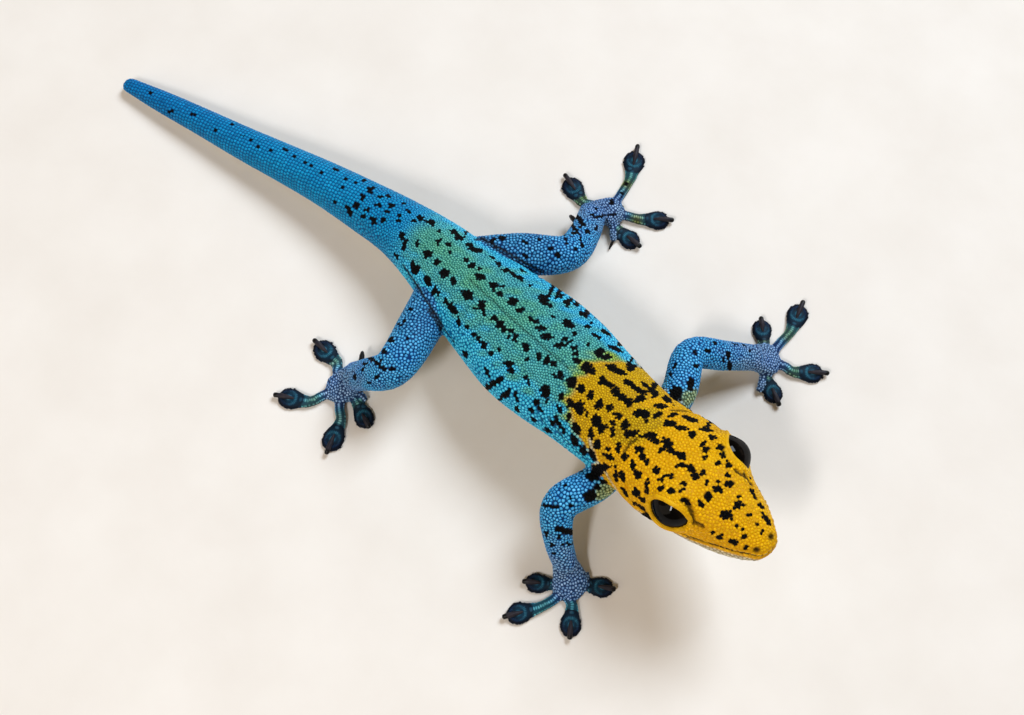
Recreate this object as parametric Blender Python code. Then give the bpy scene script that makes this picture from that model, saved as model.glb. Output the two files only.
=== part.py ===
"""Yellow-headed dwarf gecko, life-size, standing on its toe pads with the end of its tail on the floor.

The animal faces +X and its left side is at +Y. The origin is on the floor, under the middle of its
bounding box. Every length below is in millimetres and is turned into metres when a mesh is made.
"""
import math

import bmesh
import bpy
import numpy as np
from mathutils import Matrix

MM = 0.001
GAP = 0.3                    # clearance between neighbouring pieces
SHARP_ANGLE = 40.0           # degrees between faces from which an edge is shaded sharp

# Trunk from the tip of the tail to the shoulders, along the line where it is widest:
# x, y, z, half width, height above the line, depth below it
TRUNK = (
    (-37.9, -2.36, 0.72, 0.80, 0.62, 0.73),
    (-34.1, -1.92, 0.92, 1.13, 0.95, 0.95),
    (-29.3, -1.38, 1.22, 1.38, 1.25, 1.25),
    (-24.3, -0.86, 1.52, 1.65, 1.50, 1.53),
    (-19.5, -0.30, 1.90, 1.89, 1.75, 1.72),
    (-14.7, 0.16, 2.40, 2.17, 2.00, 1.90),
    (-9.8, 0.37, 2.95, 2.54, 2.30, 2.10),
    (-5.5, 0.38, 3.55, 2.91, 2.60, 2.25),
    (-1.4, -0.08, 4.10, 3.55, 2.90, 2.45),
    (3.7, -1.18, 4.80, 4.42, 3.25, 2.80),
    (7.5, -1.82, 5.35, 5.10, 3.50, 3.20),
    (11.5, -2.48, 5.85, 5.65, 3.65, 3.60),
    (15.0, -2.92, 6.20, 5.52, 3.65, 3.60),
    (18.2, -3.42, 6.60, 5.05, 3.60, 3.45),
    (21.1, -3.95, 7.05, 4.72, 3.60, 3.30),
    (23.6, -4.40, 7.55, 4.55, 3.45, 3.05),
)
TRUNK_SIDES = 24
GUARD_OVERLAP = 3.0          # how far the torso's guard reaches over the root of the tail
TRUNK_SQUARENESS = 2.15      # exponent of the oval sections, 2 is an ellipse
TAIL_TIP = (-38.7, -2.45, 0.60)
# Pieces of the trunk: x of their two ends and number of sections
TAIL_TIP_SPAN = (-37.9, -27.0, 10)
TAIL_SPANS = {"tail_middle": (-27.0, -14.0, 8), "tail_base": (-14.0, -3.2, 8)}
TORSO_SPAN = (-3.2, 23.6, 20)

# Head, in its own frame: x forward from the point midway between the eyes, y to the left, z up
EYE_MIDPOINT = (30.65, -5.38, 10.8)
HEAD_YAW = -12.0             # degrees, turned to the animal's right
HEAD_PITCH = 15.0            # degrees, snout raised
HEAD_ROLL = -2.0
HEAD_BACK = -5.4
# x, height of the line of the mouth, half width, top of the skull, underside of the jaw
HEAD = (
    (-5.4, -1.20, 4.58, 1.95, -3.75),
    (-4.2, -1.35, 4.78, 2.08, -3.90),
    (-3.0, -1.60, 4.80, 2.20, -3.95),
    (-1.5, -1.90, 4.52, 2.28, -3.90),
    (0.0, -2.05, 4.10, 2.22, -3.75),
    (1.5, -2.10, 3.66, 1.95, -3.55),
    (3.0, -2.05, 3.16, 1.50, -3.30),
    (4.5, -1.95, 2.58, 0.95, -3.02),
    (5.6, -1.85, 2.04, 0.45, -2.75),
    (6.4, -1.78, 1.54, -0.02, -2.48),
    (6.95, -1.74, 1.04, -0.55, -2.22),
    (7.2, -1.72, 0.62, -1.00, -2.02),
)
SNOUT_TIP = 7.3
NAPE_BEND = -0.35            # how far the back of the head bends to the animal's right
NAPE_START = -1.0            # x at which the bend starts
HEAD_RINGS = (-5.4, -4.7, -4.0, -3.4, -2.8, -2.2, -1.6, -1.0, -0.4, 0.2, 0.8, 1.4, 2.0, 2.6, 3.2, 3.9, 4.6,
              5.2, 5.8, 6.3, 6.7, 7.0, 7.2)
SKULL_ANGLES = (3, 12, 22, 33, 45, 57, 69, 80)       # degrees above the line of the mouth
JAW_ANGLES = (-70, -46, -24, -6)                    # degrees below it
SKULL_SQUARENESS = 2.6
JAW_SQUARENESS = 2.2
MOUTH_CORNER = -2.6
LIP_GROOVE = 0.16            # depth of the line of the mouth
LIP_SWELL = 0.04             # how far the upper lip stands out beside it
LIP_STEP = 0.10              # how far the lower lip lies back from it
LIP_SPREAD = 12.0            # degrees round the section that a lip takes up

EYE_MIDDLE = (-0.55, 2.62, 0.1)      # of the left eyeball
EYE_RADIUS = 1.8
EYE_FORWARD = 10.0           # degrees that the eye looks forward of straight out
EYE_UP = 29.0                # degrees that it looks up
OPENING_LENGTH = 57.0        # half the length of the eye's opening, degrees on the eyeball
OPENING_HEIGHT = 46.0
LID_THICKNESS = 0.22
LID_BLEND = 0.5              # how softly the swelling of the orbit runs out over the skull
LID_RIM = 0.20               # radius of the rolled rim of the lids
LID_RIM_OUTSIDE = 3.0        # degrees that its middle lies outside the edge of the opening
LID_RIM_SINK = 0.8           # where it lies in the thickness of the lids
OPENING_REACH = (0.6, 4.2)   # the cutter of the opening, from and to, measured from the eyeball's middle

NOSTRIL = (6.35, 52.0, 0.24)         # x, angle above the mouth, radius
EAR = (-4.35, 16.0)                  # x and angle of the middle of the ear
EAR_CUP = (0.42, 0.40, 0.62)         # half length, depth and half height of its cup

# Legs: side, joints along the leg (x, y, z, half width, half height) from inside the trunk to the wrist
ARM_RIGHT = ((23.8, -5.6, 6.3, 1.55, 1.65), (23.1, -9.2, 6.0, 1.60, 1.62), (21.75, -12.7, 5.9, 1.55, 1.50),
             (23.1, -14.6, 3.6, 1.28, 1.30), (24.55, -15.55, 1.75, 1.12, 1.15))
ARM_LEFT = ((24.4, -2.6, 6.3, 1.55, 1.65), (24.1, 1.8, 5.6, 1.58, 1.60), (23.0, 5.5, 4.8, 1.50, 1.45),
            (25.3, 7.9, 3.1, 1.38, 1.32), (27.3, 9.75, 1.75, 1.22, 1.20))
LEG_RIGHT = ((0.9, -1.6, 4.3, 2.0, 1.9), (2.2, -6.6, 5.1, 2.05, 1.95), (2.75, -11.6, 5.7, 1.75, 1.65),
             (0.9, -12.6, 3.6, 1.50, 1.40), (-0.5, -13.1, 1.85, 1.38, 1.22))
LEG_LEFT = ((0.8, 0.8, 4.2, 2.0, 1.9), (5.0, 4.7, 4.7, 2.0, 1.9), (8.35, 7.2, 4.8, 1.70, 1.60),
            (8.2, 10.3, 3.1, 1.48, 1.38), (7.3, 12.9, 1.75, 1.34, 1.22))
LEG_SIDES = 14
LEG_JOINT = 2                # row of the elbow or knee in the tables above

# Feet: middle of the palm, then for each toe where its stalk leaves the palm (long toes only), the
# middle of its pad and the tip of its claw (x, y)
FEET = {
    "front_right": dict(palm=(25.7, -16.3), toes={
        5: ((23.45, -18.2), (22.45, -18.8)),
        4: ((25.6, -18.2), (23.75, -21.25), (22.9, -22.3)),
        3: ((26.4, -17.6), (28.0, -19.4), (28.6, -20.4)),
        2: ((28.3, -15.1), (29.3, -14.6))},
        nub=((26.0, -15.7), (26.5, -14.8))),
    "front_left": dict(palm=(28.5, 10.9), toes={
        5: ((26.4, 13.3), (25.7, 14.15)),
        4: ((28.5, 12.8), (28.3, 16.5), (28.0, 17.9)),
        3: ((30.2, 11.4), (32.5, 12.4), (33.7, 13.2)),
        2: ((30.65, 8.6), (31.75, 7.85))},
        nub=((28.0, 9.9), (28.7, 8.4))),
    "hind_right": dict(palm=(-1.1, -14.3), toes={
        5: ((-2.6, -13.4), (-4.9, -12.5), (-6.3, -12.3)),
        4: ((-2.1, -15.9), (-4.5, -18.0), (-5.8, -18.6)),
        3: ((-0.2, -16.0), (1.2, -18.7), (1.6, -20.1)),
        2: ((2.2, -15.4), (3.2, -15.9))},
        nub=((-0.1, -13.7), (0.9, -13.2)), foot_spur=((-1.5, -12.7, 1.4), (-1.8, -11.2, 1.2))),
    "hind_left": dict(palm=(8.1, 14.4), toes={
        5: ((6.3, 14.3), (3.7, 14.8), (2.3, 15.4)),
        4: ((8.0, 16.3), (6.9, 20.7), (6.2, 22.3)),
        3: ((9.6, 15.3), (12.4, 16.8), (13.6, 17.6)),
        2: ((11.4, 13.5), (12.7, 13.4))},
        nub=((9.1, 13.3), (10.15, 11.85)), leg_spur=((7.0, 12.1, 1.8), (5.3, 11.7, 1.4))),
}
PALM_WIDTH = 1.5             # half width of the palm
PALM_LENGTH = 1.55           # from its middle to its front edge
# From the middle of the palm to its front edge: share of that length, height of the line where it is
# widest, share of the half width, height above the line, depth below it, which ends under the floor
PALM_SECTIONS = ((0.0, 0.85, 1.0, 0.65, 1.15), (0.65, 0.62, 0.86, 0.52, 0.90), (1.0, 0.42, 0.42, 0.33, 0.60))
PALM_NOSE = 0.35             # how far the palm's front pole lies ahead of that edge, and its height
TOE_WIDTH = 0.47             # half width of the stalk of a toe
TOE_HEIGHT = 0.78
PAD_RADIUS = {2: 0.86, 3: 0.94, 4: 0.96, 5: 0.88}    # by digit
PAD_HEIGHT = 0.52
PAD_NOSE = 0.16              # height of the front edge of the pad
STALK_END = 1.4              # radii of the pad from its middle to the end of the stalk
SHEATH_HEIGHT = 0.22         # the claw's sheath stands this far above the pad
# Axis of a claw: share of the way from the middle of the pad to its tip, height, radius
CLAW = ((0.1, 0.42, 0.25), (0.55, 0.42, 0.25), (0.78, 0.40, 0.23), (0.92, 0.31, 0.18), (1.0, 0.22, 0.11))
NUB_RADIUS = 0.30            # first digit, at its root
NUB_HEIGHTS = (0.55, 0.36)   # of its axis at its root and at its tip
NUB_TAPER = 0.7
SPUR_RADIUS = 0.26
SPUR_TAPER = 0.4

# Colours of the bare model, linear RGB with roughness
SKIN_YELLOW = ("skin_yellow", (0.75, 0.46, 0.02), 0.55)
SKIN_TEAL = ("skin_teal", (0.03, 0.42, 0.42), 0.55)
SKIN_TAIL = ("skin_tail", (0.01, 0.25, 0.45), 0.5)
SKIN_LEG = ("skin_leg", (0.06, 0.28, 0.55), 0.5)
SKIN_TOE = ("skin_toe", (0.02, 0.08, 0.12), 0.5)
EYE_DARK = ("eye_dark", (0.006, 0.007, 0.009), 0.08)


def clear_scene():
    """Removes the start-up objects and makes the two collections"""
    for item in list(bpy.data.objects):
        bpy.data.objects.remove(item, do_unlink=True)
    model = bpy.data.collections.new("yellow_headed_dwarf_gecko")
    tools = bpy.data.collections.new("cutters")
    for group in (model, tools):
        bpy.context.scene.collection.children.link(group)
    return model, tools


def material(look):
    """One plain material for each look"""
    name, colour, roughness = look
    made = bpy.data.materials.get(name)
    if made is None:
        made = bpy.data.materials.new(name)
        made.use_nodes = True
        shader = made.node_tree.nodes["Principled BSDF"]
        shader.inputs["Base Color"].default_value = (*colour, 1.0)
        shader.inputs["Roughness"].default_value = roughness
        shader.inputs["Metallic"].default_value = 0.0
    return made


class Track:
    """Smooth line through rows of numbers whose first three columns are a place"""

    def __init__(self, rows):
        self.rows = np.array(rows, float)
        steps = np.linalg.norm(np.diff(self.rows[:, :3], axis=0), axis=1)
        self.knots = np.concatenate(([0.0], np.cumsum(steps)))
        self.slopes = np.gradient(self.rows, self.knots, axis=0)

    def at(self, along):
        """Row at a distance along the line"""
        last = len(self.knots) - 2
        i = int(np.clip(np.searchsorted(self.knots, along, "right") - 1, 0, last))
        span = self.knots[i + 1] - self.knots[i]
        t = (along - self.knots[i]) / span
        h = (2 * t**3 - 3 * t**2 + 1, t**3 - 2 * t**2 + t, 3 * t**2 - 2 * t**3, t**3 - t**2)
        return (h[0] * self.rows[i] + h[1] * span * self.slopes[i]
                + h[2] * self.rows[i + 1] + h[3] * span * self.slopes[i + 1])

    def forward(self, along, step=0.05):
        """Direction of the line there"""
        ahead = self.at(along + step)[:3] - self.at(along - step)[:3]
        return ahead / np.linalg.norm(ahead)

    def where_x(self, x):
        """Distance along a line that runs towards +X at which it reaches x"""
        low, high = 0.0, self.knots[-1]
        for _ in range(40):
            middle = (low + high) / 2
            if self.at(middle)[0] < x:
                low = middle
            else:
                high = middle
        return (low + high) / 2


def rotation(yaw, pitch, roll):
    """Turns a frame by yaw, then raises its nose by pitch, then rolls it, in degrees"""
    turn = Matrix.Rotation(math.radians(yaw), 3, "Z")
    lift = Matrix.Rotation(math.radians(-pitch), 3, "Y")
    bank = Matrix.Rotation(math.radians(roll), 3, "X")
    return np.array(turn @ lift @ bank)


HEAD_AXES = rotation(HEAD_YAW, HEAD_PITCH, HEAD_ROLL)


def head_to_world(points):
    """Places points of the head's frame in the model's"""
    return np.asarray(points, float) @ HEAD_AXES.T + np.array(EYE_MIDPOINT)


def oval(angles, half_width, rise, drop, upper, lower):
    """Points (across, up) of an oval section with its own exponent above and below the middle line"""
    c = np.cos(angles)
    s = np.sin(angles)
    exponent = np.where(s >= 0, 2.0 / upper, 2.0 / lower)
    across = half_width * np.sign(c) * np.abs(c) ** exponent
    height = np.where(s >= 0, rise, drop) * np.sign(s) * np.abs(s) ** exponent
    return across, height


def ring_across(centre, forward, across, height):
    """Stands a section up square to a direction, its width level"""
    side = np.cross((0.0, 0.0, 1.0), forward)
    side /= np.linalg.norm(side)
    up = np.cross(forward, side)
    return centre + np.outer(across, side) + np.outer(height, up)


def on_floor(points):
    """Flattens what would reach below the floor"""
    points[:, 2] = np.maximum(points[:, 2], 0.0)
    return points


def loft(name, rings, start_pole=None, end_pole=None):
    """Closed mesh through rings of the same number of points, ended flat or at a pole"""
    mesh = bpy.data.meshes.new(name)
    shape = bmesh.new()
    rows = [[shape.verts.new(point * MM) for point in ring] for ring in rings]
    for low, high in zip(rows, rows[1:]):
        for a, b, c, d in zip(low, low[1:] + low[:1], high[1:] + high[:1], high):
            shape.faces.new((a, b, c, d))
    for row, pole in ((rows[0], start_pole), (rows[-1], end_pole)):
        if pole is None:
            shape.faces.new(row)
            continue
        tip = shape.verts.new(np.asarray(pole, float) * MM)
        for a, b in zip(row, row[1:] + row[:1]):
            shape.faces.new((a, b, tip))
    bmesh.ops.recalc_face_normals(shape, faces=shape.faces[:])
    shape.to_mesh(mesh)
    shape.free()
    return mesh


def place(name, mesh, group):
    """Object of a mesh, in a collection"""
    made = bpy.data.objects.new(name, mesh)
    group.objects.link(made)
    return made


def as_cutter(item):
    """Keeps a cutter out of the model"""
    item.hide_render = True
    item.display_type = "WIRE"
    return item


def keep_largest(mesh):
    """Drops all but the largest closed surface of a mesh"""
    shape = bmesh.new()
    shape.from_mesh(mesh)
    shape.verts.ensure_lookup_table()
    left = set(shape.verts)
    bodies = []
    while left:
        queue = [left.pop()]
        body = set(queue)
        while queue:
            for edge in queue.pop().link_edges:
                for vertex in edge.verts:
                    if vertex in left:
                        left.remove(vertex)
                        body.add(vertex)
                        queue.append(vertex)
        bodies.append(body)
    sizes = [np.ptp([v.co[:] for v in body], axis=0).prod() for body in bodies]
    keep = bodies[int(np.argmax(sizes))]
    scrap = [v for v in shape.verts if v not in keep]
    bmesh.ops.delete(shape, geom=scrap, context="VERTS")
    shape.to_mesh(mesh)
    shape.free()


def combine(item, others, operation, solver="EXACT"):
    """Joins closed objects to an object, or cuts them from it, and keeps the largest body"""
    group = bpy.data.collections.new(item.name + "_" + operation.lower())
    bpy.context.scene.collection.children.link(group)
    for other in others:
        group.objects.link(other)
    change = item.modifiers.new(operation.lower(), "BOOLEAN")
    change.operation = operation
    change.operand_type = "COLLECTION"
    change.collection = group
    change.solver = solver
    bpy.context.view_layer.update()
    seen = item.evaluated_get(bpy.context.evaluated_depsgraph_get())
    mesh = bpy.data.meshes.new_from_object(seen)
    item.modifiers.clear()
    item.data = mesh
    keep_largest(mesh)
    for other in others:
        group.objects.unlink(other)
    bpy.data.collections.remove(group)


def remove(items):
    """Removes objects that are part of others by now"""
    for item in items:
        bpy.data.objects.remove(item, do_unlink=True)


def finish(item, look):
    """Gives a finished piece its material and smooth shading with sharp edges"""
    item.data.materials.clear()
    item.data.materials.append(material(look))
    item.data.shade_smooth()
    item.data.set_sharp_from_angle(angle=math.radians(SHARP_ANGLE))


def tube(name, points, radii, group, cyclic=False, sides_level=1):
    """Round rod through points, as a closed mesh"""
    line = bpy.data.curves.new(name, "CURVE")
    line.dimensions = "3D"
    line.bevel_depth = MM
    line.bevel_resolution = sides_level
    line.use_fill_caps = not cyclic
    spline = line.splines.new("POLY")
    spline.points.add(len(points) - 1)
    for knot, point, radius in zip(spline.points, points, radii):
        knot.co = (*(np.asarray(point, float) * MM), 1.0)
        knot.radius = radius
    spline.use_cyclic_u = cyclic
    rod = place(name, line, group)
    bpy.context.view_layer.update()
    seen = rod.evaluated_get(bpy.context.evaluated_depsgraph_get())
    mesh = bpy.data.meshes.new_from_object(seen)
    mesh.transform(rod.matrix_world)
    remove([rod])
    shape = bmesh.new()
    shape.from_mesh(mesh)
    bmesh.ops.remove_doubles(shape, verts=shape.verts[:], dist=1e-6)
    bmesh.ops.recalc_face_normals(shape, faces=shape.faces[:])
    shape.to_mesh(mesh)
    shape.free()
    return place(name, mesh, group)


def ball(name, centre, radii, axes, group, segments=24, rings=14):
    """Ellipsoid with its own axes"""
    mesh = bpy.data.meshes.new(name)
    shape = bmesh.new()
    bmesh.ops.create_uvsphere(shape, u_segments=segments, v_segments=rings, radius=1.0)
    for vertex in shape.verts:
        local = np.array(vertex.co) * radii
        vertex.co = (np.asarray(centre) + axes @ local) * MM
    bmesh.ops.recalc_face_normals(shape, faces=shape.faces[:])
    shape.to_mesh(mesh)
    shape.free()
    return place(name, mesh, group)


# Trunk

TRUNK_TRACK = Track(TRUNK)
TRUNK_ANGLES = (np.arange(TRUNK_SIDES) + 0.5) * 2 * np.pi / TRUNK_SIDES


def trunk_ring(along, grow=0.0):
    """Section of the trunk at a distance along it, swollen by grow"""
    row = TRUNK_TRACK.at(along)
    width, rise, drop = row[3:6] + grow
    across, height = oval(TRUNK_ANGLES, width, rise, drop, TRUNK_SQUARENESS, TRUNK_SQUARENESS)
    return on_floor(ring_across(row[:3], TRUNK_TRACK.forward(along), across, height))


def trunk_rings(first_x, last_x, count, trim_first=GAP / 2, trim_last=GAP / 2, grow=0.0):
    """Sections between two places along the trunk, each end drawn back by its trim"""
    first = TRUNK_TRACK.where_x(first_x) + trim_first
    last = TRUNK_TRACK.where_x(last_x) - trim_last
    return [trunk_ring(along, grow) for along in np.linspace(first, last, count)]


def build_tail(model):
    tip = loft("tail_tip", trunk_rings(*TAIL_TIP_SPAN, trim_first=0.0), start_pole=TAIL_TIP)
    finish(place("tail_tip", tip, model), SKIN_TAIL)
    for name, span in TAIL_SPANS.items():
        finish(place(name, loft(name, trunk_rings(*span)), model), SKIN_TAIL)


def build_torso(model):
    finish(place("torso", loft("torso", trunk_rings(*TORSO_SPAN)), model), SKIN_TEAL)


def torso_guard(tools):
    """The torso and the root of the tail swollen by the gap, which the legs stop at"""
    first_x, last_x, count = TORSO_SPAN
    rings = trunk_rings(first_x - GUARD_OVERLAP, last_x, count + 2, trim_last=0.0, grow=GAP)
    rings.append(rings[-1] + TRUNK_TRACK.forward(TRUNK_TRACK.knots[-1]) * GAP)
    return as_cutter(place("torso_guard", loft("torso_guard", rings), tools))


# Head and neck

HEAD_COLUMNS = np.array(HEAD)
HEAD_SLOPES = np.gradient(HEAD_COLUMNS, HEAD_COLUMNS[:, 0], axis=0)


def head_row(x):
    """Line of the mouth, half width, top and underside of the head at x, in its own frame"""
    knots = HEAD_COLUMNS[:, 0]
    i = int(np.clip(np.searchsorted(knots, x, "right") - 1, 0, len(knots) - 2))
    span = knots[i + 1] - knots[i]
    t = (x - knots[i]) / span
    h = (2 * t**3 - 3 * t**2 + 1, t**3 - 2 * t**2 + t, 3 * t**2 - 2 * t**3, t**3 - t**2)
    row = (h[0] * HEAD_COLUMNS[i] + h[1] * span * HEAD_SLOPES[i]
           + h[2] * HEAD_COLUMNS[i + 1] + h[3] * span * HEAD_SLOPES[i + 1])
    return row[1:]


def head_section(x, angles, grow=0.0):
    """Points of the head's section at x, in its own frame, with the line of the mouth and the lips"""
    mouth, width, top, under = head_row(x)
    width, top, under = width + grow, top + grow, under - grow
    across, height = oval(angles, width, top - mouth, mouth - under, SKULL_SQUARENESS, JAW_SQUARENESS)
    open_part = float(np.clip((x - MOUTH_CORNER) / 0.8, 0.0, 1.0))
    turn = np.degrees(np.arctan2(np.sin(angles), np.abs(np.cos(angles))))
    lip = np.where(turn > 0, LIP_SWELL, -LIP_STEP) * (np.abs(turn) < LIP_SPREAD)
    lip = np.where(np.abs(turn) < 1.0, -LIP_GROOVE, lip) * open_part
    bend = NAPE_BEND * float(np.clip((x - NAPE_START) / (HEAD_BACK - NAPE_START), 0.0, 1.5)) ** 2
    across = across + np.sign(np.cos(angles)) * lip + bend
    return over_eyes(np.column_stack((np.full(len(angles), x), across, height + mouth)))


def over_eyes(points):
    """Pushes the skin of the head out to the lids round each eyeball, running out softly"""
    lid = EYE_RADIUS + GAP + LID_THICKNESS
    for side in (1, -1):
        centre = eye_centre(side)
        away = points - centre
        reach = np.linalg.norm(away, axis=1)
        pushed = (reach + lid + np.sqrt((reach - lid) ** 2 + LID_BLEND**2)) / 2
        near = (points[:, 1] * side > 0)[:, None]
        points = np.where(near, centre + away * (pushed / reach)[:, None], points)
    return points


def head_angles():
    """Angles round a section, from the throat up the left side, over the skull and down the right"""
    left = [-90.0] + [float(a) for a in JAW_ANGLES] + [0.0] + [float(a) for a in SKULL_ANGLES] + [90.0]
    right = [180.0 - a for a in reversed(left[1:-1])]
    return np.radians(left + right)


def head_point(x, degrees, side):
    """Point on the skin of the head, in its own frame; side is 1 for left and -1 for right"""
    angle = math.radians(degrees if side > 0 else 180.0 - degrees)
    return head_section(x, np.array([angle]))[0]


def eye_axes(side):
    """Axes of an eye as columns: forward along its opening, out of the pupil, up its opening"""
    ahead, lift = math.radians(EYE_FORWARD), math.radians(EYE_UP)
    out = np.array((math.sin(ahead) * math.cos(lift), math.cos(ahead) * math.cos(lift), math.sin(lift)))
    along = np.array((math.cos(ahead), -math.sin(ahead), 0.0))
    up = np.cross(along, out)
    mirror = np.array((1.0, side, 1.0))
    return np.column_stack((along * mirror, out * mirror, up * mirror))


def eye_centre(side):
    """Middle of an eyeball in the head's frame"""
    return np.array(EYE_MIDDLE) * (1, side, 1)


def opening_directions(side, count=28, swell=0.0):
    """Directions from the eyeball's middle to the almond edge of its opening, in the head's frame"""
    turn = (np.arange(count) + 0.5) * 2 * np.pi / count
    along = np.radians(OPENING_LENGTH + swell) * np.cos(turn)
    up = np.radians(OPENING_HEIGHT + swell) * np.sign(np.sin(turn)) * np.abs(np.sin(turn)) ** 1.3
    off_axis = np.hypot(along, up)
    sway = np.sin(off_axis) / np.maximum(off_axis, 1e-9)
    local = np.column_stack((along * sway, np.cos(off_axis), up * sway))
    return local @ eye_axes(side).T


def build_head(model, tools):
    angles = head_angles()
    rings = [head_to_world(head_section(x, angles)) for x in HEAD_RINGS]
    tip = head_to_world((SNOUT_TIP, 0.0, HEAD[-1][1]))
    head = place("head", loft("head", rings, end_pole=tip), model)
    added, cutters = [], []
    for side, label in ((1, "left"), (-1, "right")):
        centre = head_to_world(eye_centre(side))
        axes = HEAD_AXES @ eye_axes(side)
        socket = EYE_RADIUS + GAP
        edge = opening_directions(side) @ HEAD_AXES.T
        rim_reach = socket + LID_THICKNESS * LID_RIM_SINK
        rim = centre + opening_directions(side, 24, LID_RIM_OUTSIDE) @ HEAD_AXES.T * rim_reach
        added.append(tube("lid_rim_" + label, rim, [LID_RIM] * len(rim), tools, cyclic=True))
        cutters.append(ball("socket_" + label, centre, (socket,) * 3, HEAD_AXES, tools))
        near, far = OPENING_REACH
        funnel = loft("opening_" + label, [centre + edge * near, centre + edge * far],
                      start_pole=centre, end_pole=centre + axes[:, 1] * far)
        cutters.append(place("opening_" + label, funnel, tools))
        x, degrees, radius = NOSTRIL
        spot = head_to_world(head_point(x, degrees, side))
        cutters.append(ball("nostril_" + label, spot, (radius,) * 3, HEAD_AXES, tools, 8, 6))
        spot = head_to_world(head_point(*EAR, side))
        cutters.append(ball("ear_" + label, spot, EAR_CUP, HEAD_AXES, tools, 12, 8))
        eye = ball("eye_" + label, centre, (EYE_RADIUS,) * 3, HEAD_AXES, model, 20, 12)
        finish(eye, EYE_DARK)
    combine(head, added, "UNION", "MANIFOLD")
    combine(head, cutters, "DIFFERENCE", "MANIFOLD")
    remove(added)
    for cutter in cutters:
        as_cutter(cutter)
    finish(head, SKIN_YELLOW)


def neck_rings(grow=0.0, trim=GAP / 2):
    """Sections from the shoulders to the back of the head"""
    behind = head_to_world(head_section(HEAD_BACK - GAP + grow, TRUNK_ANGLES, grow))
    first = TRUNK_TRACK.knots[-1] + trim - grow
    rings = [trunk_ring(first, grow)]
    start, end = rings[0].mean(axis=0), behind.mean(axis=0)
    for share in (0.33, 0.67):
        blend = share * share * (3 - 2 * share)
        offsets = (rings[0] - start) * (1 - blend) + (behind - end) * blend
        rings.append(start * (1 - share) + end * share + offsets)
    rings.append(behind)
    return rings


def build_neck(model):
    neck = place("neck", loft("neck", neck_rings()), model)
    finish(neck, SKIN_YELLOW)


def neck_guard(tools):
    """The neck swollen by the gap"""
    return as_cutter(place("neck_guard", loft("neck_guard", neck_rings(grow=GAP)), tools))


# Legs

LEG_ANGLES = (np.arange(LEG_SIDES) + 0.5) * 2 * np.pi / LEG_SIDES


def leg_ring(track, along, shift=0.0):
    """Section of a leg at a distance along it, moved square to itself by shift"""
    row = track.at(along)
    ahead = track.forward(along)
    across, height = oval(LEG_ANGLES, row[3], row[4], row[4], 2.1, 2.1)
    return on_floor(ring_across(row[:3] + ahead * shift, ahead, across, height))


def leg_rings(track, first, last, count, trim_first=GAP / 2, trim_last=GAP / 2):
    """Sections between two joints of a leg; each end face keeps its half of the gap"""
    inner = np.linspace(first, last, count)[1:-1]
    return [leg_ring(track, first, trim_first), *(leg_ring(track, along) for along in inner),
            leg_ring(track, last, -trim_last)]


def add_spur(item, ends, tools):
    """Small dark spur of the heel, from its root inside the leg or the foot to its tip"""
    if ends:
        rod = tube("spur", ends, (SPUR_RADIUS, SPUR_RADIUS * SPUR_TAPER), tools)
        combine(item, [rod], "UNION")
        remove([rod])


def build_leg(leg_name, upper_name, lower_name, joints, guards, model, tools):
    """Upper and lower length of one leg; the upper one stops at the trunk"""
    track = Track(joints)
    bend, wrist = track.knots[LEG_JOINT], track.knots[-1]
    upper = place(leg_name + "_" + upper_name,
                  loft(upper_name, leg_rings(track, 0.0, bend, 8)), model)
    combine(upper, guards, "DIFFERENCE")
    finish(upper, SKIN_LEG)
    lower = place(leg_name + "_" + lower_name,
                  loft(lower_name, leg_rings(track, bend, wrist, 6)), model)
    add_spur(lower, FEET[leg_name].get("leg_spur"), tools)
    finish(lower, SKIN_LEG)
    return track


def palm_rings(foot_name, track, grow=0.0):
    """Sections of a hand or foot from the wrist to its front edge, flat below, and its front pole"""
    wrist = track.rows[-1]
    ahead_at_wrist = track.forward(track.knots[-1])
    palm = np.array((*FEET[foot_name]["palm"], 0.0))
    heading = (palm - wrist[:3]) * (1, 1, 0)
    heading /= np.linalg.norm(heading)
    rows = [(*wrist[:3], wrist[3], wrist[4], wrist[4])]
    for share, level, width, rise, drop in PALM_SECTIONS:
        spot = palm + heading * share * PALM_LENGTH
        rows.append((*spot[:2], level, width * PALM_WIDTH, rise, drop))
    shape = Track(rows)
    rings = []
    for share in np.linspace(0.0, 1.0, 8):
        row = shape.at(share * shape.knots[-1])
        width, rise, drop = row[3:6] + grow
        across, height = oval(LEG_ANGLES, width, rise, drop, 2.1, 2.1 + 0.7 * share)
        turned = min(share * 2.5, 1.0)
        ahead = ahead_at_wrist * (1 - turned) + heading * turned
        ahead /= np.linalg.norm(ahead)
        centre = row[:3] + ahead * ((GAP / 2 - grow) if share == 0.0 else 0.0)
        ring = ring_across(centre, ahead, across, height)
        rings.append(ring if grow else on_floor(ring))
    pole = palm + heading * (PALM_LENGTH + PALM_NOSE + grow) + (0, 0, PALM_NOSE)
    return rings, pole


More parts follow.
